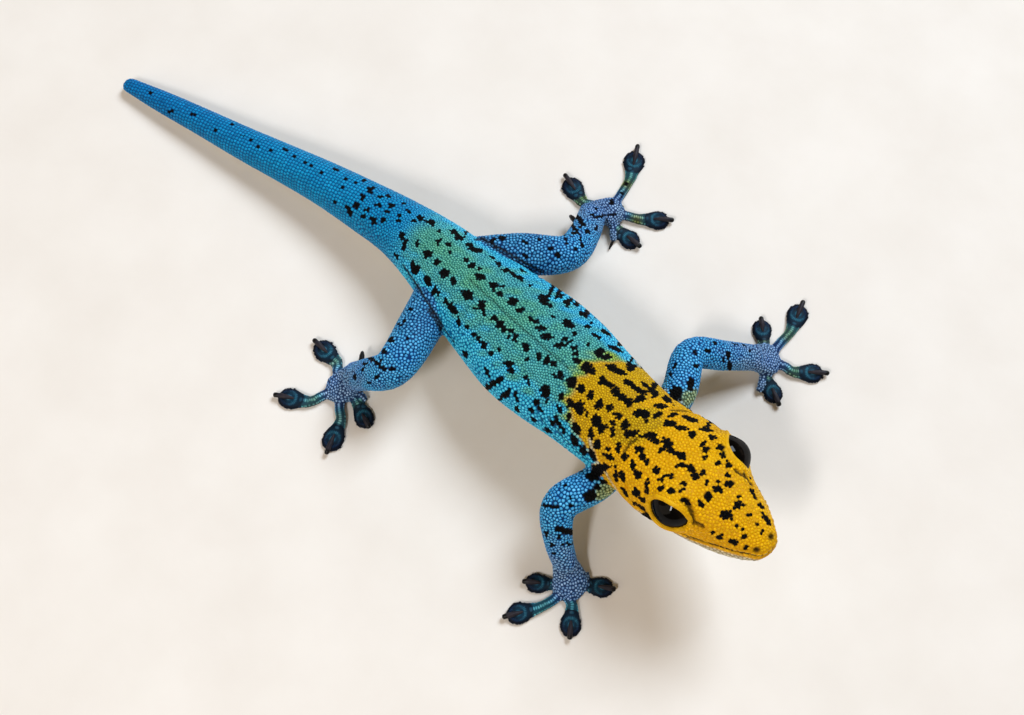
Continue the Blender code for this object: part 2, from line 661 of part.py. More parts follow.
def build_palm(foot_name, node_name, track, model, tools):
    """Palm or sole with the tiny first digit fused to it"""
    rings, pole = palm_rings(foot_name, track)
    palm = place(node_name, loft(node_name, rings, end_pole=pole), model)
    root, tip = FEET[foot_name]["nub"]
    nub_line = ((*root, NUB_HEIGHTS[0]), (*tip, NUB_HEIGHTS[1]))
    nub_radii = np.array((NUB_RADIUS, NUB_RADIUS * NUB_TAPER))
    nub = tube("nub", nub_line, nub_radii, tools)
    combine(palm, [nub], "UNION")
    remove([nub])
    add_spur(palm, FEET[foot_name].get("foot_spur"), tools)
    finish(palm, SKIN_LEG)
    rings, pole = palm_rings(foot_name, track, grow=GAP)
    guard = place(node_name + "_guard", loft("palm_guard", rings, end_pole=pole), tools)
    nub_guard = tube(node_name + "_nub_guard", nub_line, nub_radii + GAP, tools)
    return [as_cutter(guard), as_cutter(nub_guard)]


# Section of a toe: across and up, as shares of the half width and the height, with the sheath on top
TOE_SECTION = ((-0.82, 0.0), (-1.0, 0.28), (-0.86, 0.68), (-0.5, 0.92), (-0.2, 1.0), (0.2, 1.0),
               (0.5, 0.92), (0.86, 0.68), (1.0, 0.28), (0.82, 0.0))
SHEATH_POINTS = (4, 5)
# Along the pad: place in radii from its middle, half width in radii, height share, sheath share
PAD_PROFILE = ((-1.25, 0.54, 1.30, 0.0), (-0.8, 0.74, 1.10, 0.25), (-0.4, 0.93, 1.0, 0.7),
               (0.0, 1.0, 1.0, 1.0), (0.4, 0.92, 0.97, 1.0), (0.7, 0.70, 0.9, 0.8), (0.9, 0.42, 0.75, 0.4))


def toe_ring(centre, heading, half_width, height, sheath):
    """Flat-bottomed section of a toe"""
    side = np.array((-heading[1], heading[0], 0.0))
    ring = []
    for k, (across, up) in enumerate(TOE_SECTION):
        rise = up * height + (sheath if k in SHEATH_POINTS else 0.0)
        ring.append(centre + side * across * half_width + np.array((0.0, 0.0, rise)))
    return np.array(ring)


def build_toe(foot_name, number, guards, model, tools):
    """Stalk, pad and claw of one toe, cut clear of the palm"""
    name = "%s_toe_%d" % (foot_name, number)
    radius = PAD_RADIUS[number]
    points = FEET[foot_name]["toes"][number]
    *root, pad, tip = [np.array((*point, 0.0)) for point in points]
    heading = (tip - pad) / np.linalg.norm(tip - pad)
    neck = pad - heading * radius * STALK_END
    palm_middle = np.array((*FEET[foot_name]["palm"], 0.0))
    start = palm_middle * 0.5 + (root[0] if root else neck) * 0.5
    stalk = Track([start, *(root or [(start + neck) / 2]), neck])
    rings = []
    for along in np.linspace(0.0, stalk.knots[-1], 6)[:-1]:
        ahead = stalk.forward(along)
        rings.append(toe_ring(stalk.at(along), ahead, TOE_WIDTH, TOE_HEIGHT, 0.0))
    for place_share, width, height, sheath in PAD_PROFILE:
        centre = pad + heading * place_share * radius
        rings.append(toe_ring(centre, heading, width * radius, height * PAD_HEIGHT, sheath * SHEATH_HEIGHT))
    pole = pad + heading * radius + np.array((0.0, 0.0, PAD_NOSE))
    toe = place(name, loft(name, rings, end_pole=pole), model)
    reach = np.linalg.norm(tip - pad)
    claw_line = [pad + heading * share * reach + np.array((0.0, 0.0, height)) for share, height, _ in CLAW]
    claw = tube("claw", claw_line, [radius for *_, radius in CLAW], tools, sides_level=2)
    combine(toe, [claw], "UNION")
    remove([claw])
    combine(toe, guards, "DIFFERENCE")
    finish(toe, SKIN_TOE)


LEGS = (
    ("front_right", "upper_arm", "forearm", "hand", ARM_RIGHT),
    ("front_left", "upper_arm", "forearm", "hand", ARM_LEFT),
    ("hind_right", "thigh", "shin", "foot", LEG_RIGHT),
    ("hind_left", "thigh", "shin", "foot", LEG_LEFT),
)


def main():
    model, tools = clear_scene()
    build_tail(model)
    build_torso(model)
    build_neck(model)
    build_head(model, tools)
    guards = [torso_guard(tools), neck_guard(tools)]
    for foot_name, upper_name, lower_name, end_name, joints in LEGS:
        track = build_leg(foot_name, upper_name, lower_name, joints, guards, model, tools)
        palm_guards = build_palm(foot_name, foot_name + "_" + end_name, track, model, tools)
        for number in FEET[foot_name]["toes"]:
            build_toe(foot_name, number, palm_guards, model, tools)


main()
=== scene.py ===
"""Looks of the yellow-headed dwarf gecko: one skin, its coat of scales, eyes, lids and claws.

The animal faces +X and its left side is at +Y. Lengths are in millimetres and are turned into metres
when a mesh is finished. Marks on the hide are listed as places in the picture of 1024 by 715
and are cast through the camera onto the skin.
"""

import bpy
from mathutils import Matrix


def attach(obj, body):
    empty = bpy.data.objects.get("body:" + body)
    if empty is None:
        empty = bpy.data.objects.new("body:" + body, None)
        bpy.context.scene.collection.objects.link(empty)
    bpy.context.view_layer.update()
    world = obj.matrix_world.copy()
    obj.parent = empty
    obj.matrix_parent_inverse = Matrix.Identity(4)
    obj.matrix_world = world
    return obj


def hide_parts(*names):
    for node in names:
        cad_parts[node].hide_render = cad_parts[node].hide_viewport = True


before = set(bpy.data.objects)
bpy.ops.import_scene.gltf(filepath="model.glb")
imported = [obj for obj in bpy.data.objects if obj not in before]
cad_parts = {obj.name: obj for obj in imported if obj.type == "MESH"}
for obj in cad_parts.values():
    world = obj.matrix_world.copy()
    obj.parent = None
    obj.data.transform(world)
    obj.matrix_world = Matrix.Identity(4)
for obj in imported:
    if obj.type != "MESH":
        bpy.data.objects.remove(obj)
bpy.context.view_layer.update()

import copy
import math

import bmesh
import bpy
import numpy as np
from mathutils import Matrix, Vector
from mathutils.bvhtree import BVHTree
from mathutils.kdtree import KDTree

MM = 0.001
COAT = 0.06                  # depth of the scales over the skin
VOXEL = 0.185                # grain at which the shapes of the flesh are melted into one skin
PIXEL = 0.088                # width on the animal of one pixel of the picture
RANDOM = np.random.default_rng(11)

# Camera: place, the point it looks at, the upward direction of the picture, and its lens
CAMERA_PLACE = np.array((33.4, -35.1, 110.9))
CAMERA_TARGET = np.array((9.4, -2.7, 0.0))
LENS, SENSOR = 45.0, 36.0
PICTURE = (1024, 715)

# Trunk along the line where it is widest: x, y, z, half width, height above the line, depth below it
TRUNK = (
    (-37.9, -2.36, 0.72, 0.80, 0.62, 0.73),
    (-34.1, -1.92, 0.92, 1.13, 0.95, 0.95),
    (-29.3, -1.38, 1.22, 1.38, 1.25, 1.25),
    (-24.3, -0.86, 1.52, 1.65, 1.50, 1.53),
    (-19.5, -0.30, 1.90, 1.89, 1.75, 1.72),
    (-14.7, 0.16, 2.40, 2.17, 2.00, 1.90),
    (-9.8, 0.37, 2.95, 2.54, 2.30, 2.10),
    (-5.5, 0.38, 3.55, 2.91, 2.60, 2.25),
    (-1.4, -0.08, 4.10, 3.55, 2.90, 2.45),
    (3.7, -1.18, 4.80, 4.42, 3.25, 2.80),
    (7.5, -1.82, 5.35, 5.10, 3.50, 3.20),
    (11.5, -2.48, 5.85, 5.65, 3.65, 3.60),
    (15.0, -2.92, 6.20, 5.52, 3.65, 3.60),
    (18.2, -3.42, 6.60, 5.05, 3.60, 3.45),
    (21.1, -3.95, 7.05, 4.72, 3.60, 3.30),
    (23.6, -4.40, 7.55, 4.55, 3.45, 3.05),
)
TRUNK_SQUARENESS = 2.15
TAIL_TIP = (-38.7, -2.45, 0.60)
TIP_SHARES = (0.15, 0.4, 0.65, 0.85)         # sections that round off the tip of the tail
TRUNK_STEP, NECK_SECTIONS = 0.6, 8
TAIL_END, NECK_START = 34.0, 62.0            # distances from the tip of the tail

# Head in its own frame: x forward from the point midway between the eyes, y left, z up
EYE_MIDPOINT = (30.65, -5.38, 10.8)
HEAD_YAW, HEAD_PITCH, HEAD_ROLL = -12.0, 15.0, -2.0
# x, height of the line of the mouth, half width, top of the skull, underside of the jaw
HEAD = (
    (-5.4, -1.20, 4.58, 1.95, -3.75),
    (-4.2, -1.35, 4.78, 2.08, -3.90),
    (-3.0, -1.60, 4.80, 2.20, -3.95),
    (-1.5, -1.90, 4.52, 2.28, -3.90),
    (0.0, -2.05, 4.10, 2.22, -3.75),
    (1.5, -2.10, 3.66, 1.95, -3.55),
    (3.0, -2.05, 3.16, 1.50, -3.30),
    (4.5, -1.95, 2.58, 0.95, -3.02),
    (5.6, -1.85, 2.04, 0.45, -2.75),
    (6.4, -1.78, 1.54, -0.02, -2.48),
    (6.95, -1.74, 1.04, -0.55, -2.22),
    (7.2, -1.72, 0.62, -1.00, -2.02),
)
HEAD_BACK, SNOUT_TIP = -5.4, 7.27
NAPE_BEND, NAPE_START = -0.35, -1.0
SKULL_SQUARENESS, JAW_SQUARENESS = 2.6, 2.2
MOUTH_CORNER = -2.6
# Relief along the lips: height over the line of the mouth, half width, and depth, inwards below 0
LIPS = ((0.0, 0.12, -0.15), (0.30, 0.2, 0.05), (-0.62, 0.15, -0.06))
MOUTH_LIFT = ((-2.6, 0.30), (1.0, 0.36), (4.0, 0.80), (6.2, 0.80), (7.2, 0.40))     # x and how much higher
JAW_SWELL = ((-5.4, 0.04), (1.0, 0.05), (4.0, 0.12), (7.2, 0.12))      # x and how much wider the jaw is
EYE_MIDDLE = (-0.5, 2.72, 0.02)
EYE_RADIUS = 2.06
BALL_SIDES, BALL_RINGS = 64, 40
CORNEA_SHIFT, CORNEA_RADIUS = 0.6, 1.58
# Where the eyes look, in degrees; 1 is the left eye, which looks less far up, and -1 the right one
EYE_FORWARD, EYE_UP, EYE_TILT = 20.0, {1: 5.0, -1: 17.0}, -12.0
LID_REACH = 2.26             # from the middle of the eye to the skin of the lids
LID_BLEND = 0.5
LID_ZONE = 3.0               # skin closer to the middle of the eye than this belongs to its lids
SOCKET_REACH = 1.72          # from the middle of the eye to the skin sunk behind the eyeball
BARE_LID = {1: 1.25, -1: 1.16}               # how far out from the opening the lids bear no scales
RIM_REACH, RIM_SWELL, RIM_RADIUS = 2.17, 5.5, 0.21
# Half length of the eye's opening, and its arch over and under the line of its corners, in degrees on the
# eyeball; the left eye, 1, is opened further up than the right one, -1
OPENING_LENGTH = 55.0
UPPER_ARCH, LOWER_ARCH = {1: 74.0, -1: 39.0}, 31.0
ARCH_SQUARENESS, ARCH_FALL = 2.4, 0.68
NOSTRILS = ((755.8, 550.5), (771, 537))       # places in the picture
NOSTRIL_DENT, NOSTRIL_SHADE = (0.22, 0.20), (0.27, 0.95)    # radius and depth, radius and darkness
EAR, EAR_DENT = (-4.35, 16.0), (0.40, 0.40)

# Legs: x, y, z, half width, half height from inside the trunk to the wrist
LEGS = {
    "front_right": ((23.8, -5.6, 6.3, 1.55, 1.65), (23.1, -9.2, 6.0, 1.60, 1.62),
                    (21.75, -12.7, 5.9, 1.55, 1.50), (23.1, -14.6, 3.6, 1.28, 1.30),
                    (24.55, -15.55, 1.75, 1.12, 1.15)),
    "front_left": ((24.4, -2.6, 6.3, 1.55, 1.65), (24.1, 1.8, 5.6, 1.58, 1.60), (23.0, 5.5, 4.8, 1.50, 1.45),
                   (25.3, 7.9, 3.1, 1.38, 1.32), (27.3, 9.75, 1.75, 1.22, 1.20)),
    "hind_right": ((0.9, -1.6, 4.3, 2.0, 1.9), (2.2, -6.6, 5.1, 2.05, 1.95), (2.75, -11.6, 5.7, 1.75, 1.65),
                   (0.9, -12.6, 3.6, 1.50, 1.40), (-0.5, -13.1, 1.85, 1.38, 1.22)),
    "hind_left": ((0.8, 0.8, 4.2, 2.0, 1.9), (5.2, 4.45, 4.7, 2.0, 1.9), (8.5, 7.0, 4.8, 1.70, 1.60),
                  (8.2, 10.3, 3.1, 1.48, 1.38), (7.3, 12.9, 1.75, 1.34, 1.22)),
}
LEG_SQUARENESS, SOLE_GAIN = 2.1, 0.7
# Feet: middle of the palm, then for each toe where its stalk leaves the palm (long toes only), the
# middle of its pad and the tip of its claw (x, y)
FEET = {
    "front_right": dict(palm=(25.7, -16.3), toes={
        5: ((23.45, -18.2), (22.45, -18.8)),
        4: ((25.6, -18.2), (23.75, -21.25), (22.9, -22.3)),
        3: ((26.4, -17.6), (28.0, -19.4), (28.6, -20.4)),
        2: ((28.3, -15.1), (29.3, -14.6))},
        nub=((26.2, -15.8), (26.65, -14.95)), thorn=None, spur=None),
    "front_left": dict(palm=(28.5, 10.9), toes={
        5: ((26.4, 13.3), (25.7, 14.15)),
        4: ((28.5, 12.8), (28.3, 16.5), (28.0, 17.9)),
        3: ((30.2, 11.4), (32.5, 12.4), (33.7, 13.2)),
        2: ((30.65, 8.6), (31.75, 7.85))},
        nub=((28.9, 9.5), (29.5, 7.95)), thorn=None, spur=None),
    "hind_right": dict(palm=(-1.1, -14.3), toes={
        5: ((-2.6, -13.4), (-4.9, -12.5), (-6.3, -12.3)),
        4: ((-2.1, -15.9), (-4.5, -18.0), (-5.8, -18.6)),
        3: ((-0.2, -16.0), (1.2, -18.7), (1.6, -20.1)),
        2: ((2.2, -15.4), (3.2, -15.9))},
        nub=((0.2, -13.8), (1.2, -14.0)), thorn=None, spur=((-1.1, -11.5, 1.5), (-1.67, -10.7, 1.25))),
    "hind_left": dict(palm=(8.1, 14.4), toes={
        5: ((6.3, 14.3), (3.7, 14.8), (2.3, 15.4)),
        4: ((8.0, 16.3), (6.9, 20.7), (6.2, 22.3)),
        3: ((9.6, 15.3), (12.4, 16.8), (13.6, 17.6)),
        2: ((11.4, 13.5), (12.7, 13.4))},
        nub=((9.4, 13.4), (10.16, 12.4)), thorn=(10.35, 11.5),
        spur=((6.45, 11.35, 1.75), (5.55, 11.7, 1.35))),
}
PALM_WIDTH = 1.5
PALM_LENGTH = {"front_right": 1.55, "front_left": 1.0, "hind_right": 1.55, "hind_left": 1.55}
PALM_SECTIONS = ((0.0, 0.85, 1.0, 0.65, 1.15), (0.65, 0.62, 0.86, 0.52, 0.90), (1.0, 0.42, 0.42, 0.33, 0.60))
PALM_NOSE = 0.35
TOE_WIDTH, TOE_HEIGHT = 0.50, 0.78
PAD_RADIUS = {
    "front_right": {2: 0.93, 3: 0.96, 4: 0.98, 5: 0.90},
    "front_left": {2: 0.90, 3: 0.97, 4: 1.03, 5: 0.93},
    "hind_right": {2: 0.95, 3: 1.03, 4: 1.03, 5: 1.05},
    "hind_left": {2: 0.97, 3: 1.0, 4: 1.07, 5: 1.07},
}
# How olive the stalks of each foot's toes are
OLIVE_TOES = {"front_right": 0.1, "front_left": 0.8, "hind_right": 0.4, "hind_left": 1.0}
MELT_LOSS = 0.07             # how much a pad's edge draws in when the flesh is melted
PAD_HEIGHT, PAD_NOSE, STALK_END = 0.52, 0.16, 1.9
TOE_SECTION = ((-0.82, 0.0), (-1.0, 0.28), (-0.86, 0.68), (-0.5, 0.92), (0.0, 1.0),
               (0.5, 0.92), (0.86, 0.68), (1.0, 0.28), (0.82, 0.0), (0.0, 0.0))
PAD_PROFILE = ((-1.7, 0.53, 1.40), (-1.2, 0.62, 1.22), (-0.8, 0.80, 1.08), (-0.4, 0.95, 1.0),
               (0.0, 1.0, 1.0), (0.4, 0.92, 0.97), (0.7, 0.70, 0.9), (0.9, 0.42, 0.75))
NUB_RADIUS, NUB_HEIGHTS = 0.34, (0.60, 0.42)
THORN_RADII, SPUR_RADII, SPUR_SHARES = (0.13, 0.12, 0.05), (0.27, 0.24, 0.15, 0.06), (0.0, 0.55, 0.9, 1.0)
# From the middle of the pad to the tip of the claw: share of the way, height, radius
CLAW_LINE = ((0.50, 0.46, 0.15), (0.64, 0.52, 0.21), (0.76, 0.48, 0.235), (0.87, 0.43, 0.24),
             (0.94, 0.38, 0.21), (0.98, 0.35, 0.14), (1.0, 0.34, 0.06))
SHEATH_LINE = ((-0.35, 0.50, 0.06), (-0.20, 0.51, 0.14), (0.0, 0.52, 0.20), (0.30, 0.53, 0.23),
               (0.56, 0.53, 0.24), (0.72, 0.50, 0.22))

# Scales: distance between neighbours. On the trunk it grows from the back to the flank, on a leg it shrinks
# towards the foot, on the head towards the snout
BACK_PITCH, FLANK_GAIN, LEG_PITCH, SHIN_LOSS, HEAD_PITCHES = 0.225, 0.07, 0.31, 0.07, (0.275, 0.035)
TAIL_PITCH, LIP_PITCH, LID_PITCH = 0.33, 0.42, 0.22
FOOT_PITCHES = {"palm": 0.25, "rod": 0.21, "toe": 0.50}
# Height of the scales and width of their shoulders, as a share of the root, by kind of length
SCALE_SIZES = {"spine": (0.038, 0.84), "leg": (0.046, 0.80), "palm": (0.040, 0.76), "rod": (0.040, 0.76),
               "toe": (0.020, 0.84)}
HEAD_SCALE, TAIL_SCALE_HEIGHT = (0.024, 0.90), 0.028
SCALE_SINK, SHOULDER_LEVEL, SCALE_FILL = 0.05, 0.74, 0.94    # depth of the root in the skin, shares
TAIL_TILT, SCALE_TILT = 0.55, 0.25           # how much the rear edge of a scale stands up
PAD_CAP, EDGE_CAP = 0.38, 0.13               # furthest reach of a toe's scales, above and at its sides
# Rows of scales: distance between rows, distance round a row, stagger and looseness
TAIL_ROWS, BACK_ROWS, LEG_ROWS = (0.35, 0.32, 0.0, 0.04), (0.215, 0.235, 1.0, 0.25), (0.28, 0.32, 1.0, 0.25)
BACK_SPREAD = 50.0           # degrees from the top of the back to which its rows reach
PAD_RINGS = ((0.0, 1, 0.5), (0.62, 30, 0.42), (1.0, 30, 0.14))     # share of the radius, ribs, level
STALK_STEP, STALK_PLACES = 0.20, (-1.3, 0.0, 1.3)
LIP_ROWS = ((0.22, 0.46), (-0.24, 0.42))     # height over the line of the mouth and length of the plates
LOOSE_ROOTS = 90000          # points thrown over the hide each round to fill what the rows leave free
TOE_CLEARANCE, ROW_CLEARANCE, LOOSE_CLEARANCE = 0.17, 0.55, 0.80   # shares of the pitch kept free
PUSH_REACH, PUSH_SHARE = 1.12, 0.22          # how neighbours that are too close part
SIDES = 8                    # corners of a scale's outline
PATCH = 0.0015               # half width of a scale's patch on the flat map

# Marks of the hide: place in the picture, half length and half width in its pixels, and the turn of the
# long side in degrees clockwise from the picture's right, where it has one
NECK_MARKS = (
    (571.7, 382.5, 4.7, 5.8), (581, 388.5, 4.3, 4.3), (590.8, 395.5, 3.5, 4.5), (599, 404, 3.3, 4.8, 28),
    (609.2, 407.8, 3.6, 3.4), (614, 414, 1.8, 1.8), (619, 416.7, 2.8, 3.6, 20), (579.5, 408.5, 4.5, 7.5),
    (573, 405.4, 3, 3), (569, 402.3, 2.2, 5.5), (596.5, 420.8, 4.6, 5.5), (601, 428.8, 3.5, 5, 10),
    (612.7, 423, 2.8, 2.4), (606.4, 426.4, 1.3, 1.3), (612.4, 432.5, 1.8, 5.5), (625.2, 425.5, 3.4, 5.5),
    (632, 433, 7, 2.8, -10), (628, 435.5, 3, 2.4), (638.5, 413.5, 5.5, 3.8), (645.5, 413.5, 4.5, 4.5),
    (645.5, 420.5, 1.8, 2.4), (658, 415, 6, 2, -35), (661, 406, 7, 2.4, 15), (586.3, 366.8, 4.8, 5, 42),
    (592, 371.2, 3.8, 2.9, 25), (611.5, 367.4, 5.2, 3.5, 28), (620, 371.5, 7, 2.6, 25),
    (631.5, 367, 3.6, 4.5, 60), (633, 358.5, 5, 1.6, 30), (599.5, 353, 4.5, 4.5),
    (606.5, 356.7, 6.2, 2.5, 3), (617, 349, 8, 1.4, 25), (622, 343, 8, 1.6, 38), (643, 367.5, 3, 2, 50),
    (597, 336.5, 5, 1.5, 30), (603, 381, 4.2, 4.1, 10), (609.3, 384.5, 5, 2.4, 15), (629, 383, 6, 3, 25),
    (637, 389, 6, 2.6, 30), (643, 392.5, 4, 1.5, 20), (616, 391.5, 4.5, 4, 45), (622, 397, 5, 3.5, 35),
    (645, 384.5, 4, 1.5, 35), (653, 390.5, 5, 2.4, 45), (655, 395, 3, 2.4, 20), (656, 384, 7, 2.2, 45),
    (642, 398, 4.5, 3, 15), (628.5, 402.5, 3.5, 4.5), (637, 401, 5, 1.6, -10), (676, 401, 7, 1.4, 40),
    (667, 399, 5, 2.6, 35), (561, 374, 2.2, 2.4), (562, 396, 2, 4, 30), (569, 415.5, 2, 3, -20),
    (568.8, 418.6, 1.6, 3), (587, 415, 1, 2.5), (576, 428.8, 4.2, 6.2, -35), (575, 441, 3, 5.5, -20),
    (583, 451, 3.6, 4.5, -20), (592, 454, 2.4, 7, -25), (591, 434, 2.2, 6, -15), (597.5, 445, 4, 5),
    (608, 449.5, 2.3, 1.8), (608.8, 456.5, 5.6, 2.3, 32), (618.4, 448, 2.1, 6.5),
    (604.5, 467.5, 3, 4.5, -40), (610.7, 466.5, 1.4, 1.6), (615.6, 466, 2.2, 1.2, 10),
    (615.5, 476, 1.3, 6, -10), (622, 476.5, 2.6, 6, -20), (598, 470, 6, 5, 40), (591, 466, 4, 3),
)
HEAD_MARKS = (
    (670.5, 423.4, 6.5, 3), (681.5, 428.4, 6, 2.3), (673.3, 414.8, 4.9, 1.8, -8), (690.5, 419, 8, 2.4, 20),
    (692.2, 434.7, 4.4, 3.3), (624.8, 456.5, 2.9, 3.8), (638.5, 449.7, 4.5, 3.6, 10),
    (642.7, 456.5, 3.6, 3.8), (646.2, 462, 2.6, 3), (632.5, 466, 3, 5, -10), (637.5, 474.5, 3.4, 5.5, -20),
    (652.7, 436, 5, 4.4), (645, 436, 5, 1.6, -10), (657, 440.8, 3, 3.4), (666.7, 442.3, 5.2, 4.4),
    (661.3, 449.8, 4, 2.2, -35), (672.5, 444, 2, 1.6, 30), (671.2, 450.8, 4.3, 3.2, 45),
    (676.5, 454.5, 3, 1.8, 20), (682, 456.2, 4, 3.5), (680.5, 465.3, 4.7, 2.6), (691, 469, 5, 3.6, 40),
    (695, 476.5, 3.4, 4.2), (655.3, 470.7, 3.8, 3.2), (703.4, 473.2, 3, 2.9), (706.5, 482, 2.4, 1.6, 20),
    (647, 487.4, 1.9, 7), (640, 475, 1.6, 3.5), (665.3, 476, 3.3, 1.7, -10), (671.6, 476.4, 3.4, 1.5, 5),
    (660.5, 479.5, 2, 1, -30), (662.3, 482, 1.8, 1.4, -20), (661, 488.1, 4.3, 1.9, -30),
    (671.3, 490.7, 4.8, 2.7), (683.8, 483.6, 3.8, 1.8, 10), (681.6, 490.3, 1.8, 2.9, 10),
    (684.5, 500.8, 5, 2.8, 30), (703.4, 443.3, 3, 2.4, -30), (700.5, 446, 1.2, 1.5), (705.6, 450, 3.5, 3.4),
    (704.3, 457.6, 2.6, 2.8), (711.5, 437, 3.6, 2.2, 10), (706, 429.5, 7.5, 1.6, 12),
    (710.5, 421.9, 6, 2, 35), (721.5, 428.5, 5, 1, 40), (720.4, 447.3, 4.2, 3.2, 20), (723, 454.5, 2.6, 2.9),
    (718.6, 463.4, 2.4, 2.4), (728.4, 464.7, 3.4, 3.4, 30), (728, 475, 2, 2.8), (718.6, 481.7, 1.4, 1.3),
    (718.2, 489, 5, 3.7), (729, 483.5, 4.7, 2.9), (708.3, 497, 3.8, 5), (701.5, 503.9, 4.3, 3.2, 35),
    (737.3, 505.3, 4.3, 4.4), (739.6, 497.2, 1.7, 1.5), (744.2, 506, 1.6, 1.1), (725.8, 514.8, 5.8, 4.4),
    (732, 520.2, 1.7, 1.5), (749.2, 515.2, 2.4, 1.1), (756.5, 524.4, 2.2, 1.6, 40),
    (737, 526.3, 2.4, 1.6, 20), (742.7, 529.7, 1.6, 1), (762.6, 531.3, 1.8, 2.4),
    (743.9, 536.6, 3.6, 2.2, -25), (719.5, 537.4, 3.6, 2.8, 30), (712.5, 533.2, 2.3, 1.8),
    (733.4, 542.2, 4.4, 2.9, 38), (746.6, 547.7, 2, 1.8), (624.7, 492.7, 1.2, 5.5, -30),
    (635.3, 492.7, 4.5, 3.6, 40), (643, 499.8, 4.5, 1.4, 50), (634.4, 503.4, 1.6, 1.4),
    (641.2, 507, 5, 1.2, 30), (650, 512.3, 3.6, 1.6, 40), (646.4, 518.6, 6, 1.4, 32),
    (658.5, 527, 2.5, 1.4, 20), (664, 530, 3.6, 1.8, 30), (669.5, 533, 2.4, 1.2, 30),
    (753, 493.8, 6.5, 1.6, 58), (760.6, 505.8, 3.6, 1.5, 55), (766.3, 518.5, 8, 1.7, 57),
    (760.3, 492.2, 1.5, 2.2), (758, 482.5, 5, 1, 62), (751, 477.7, 1.2, 1),
)
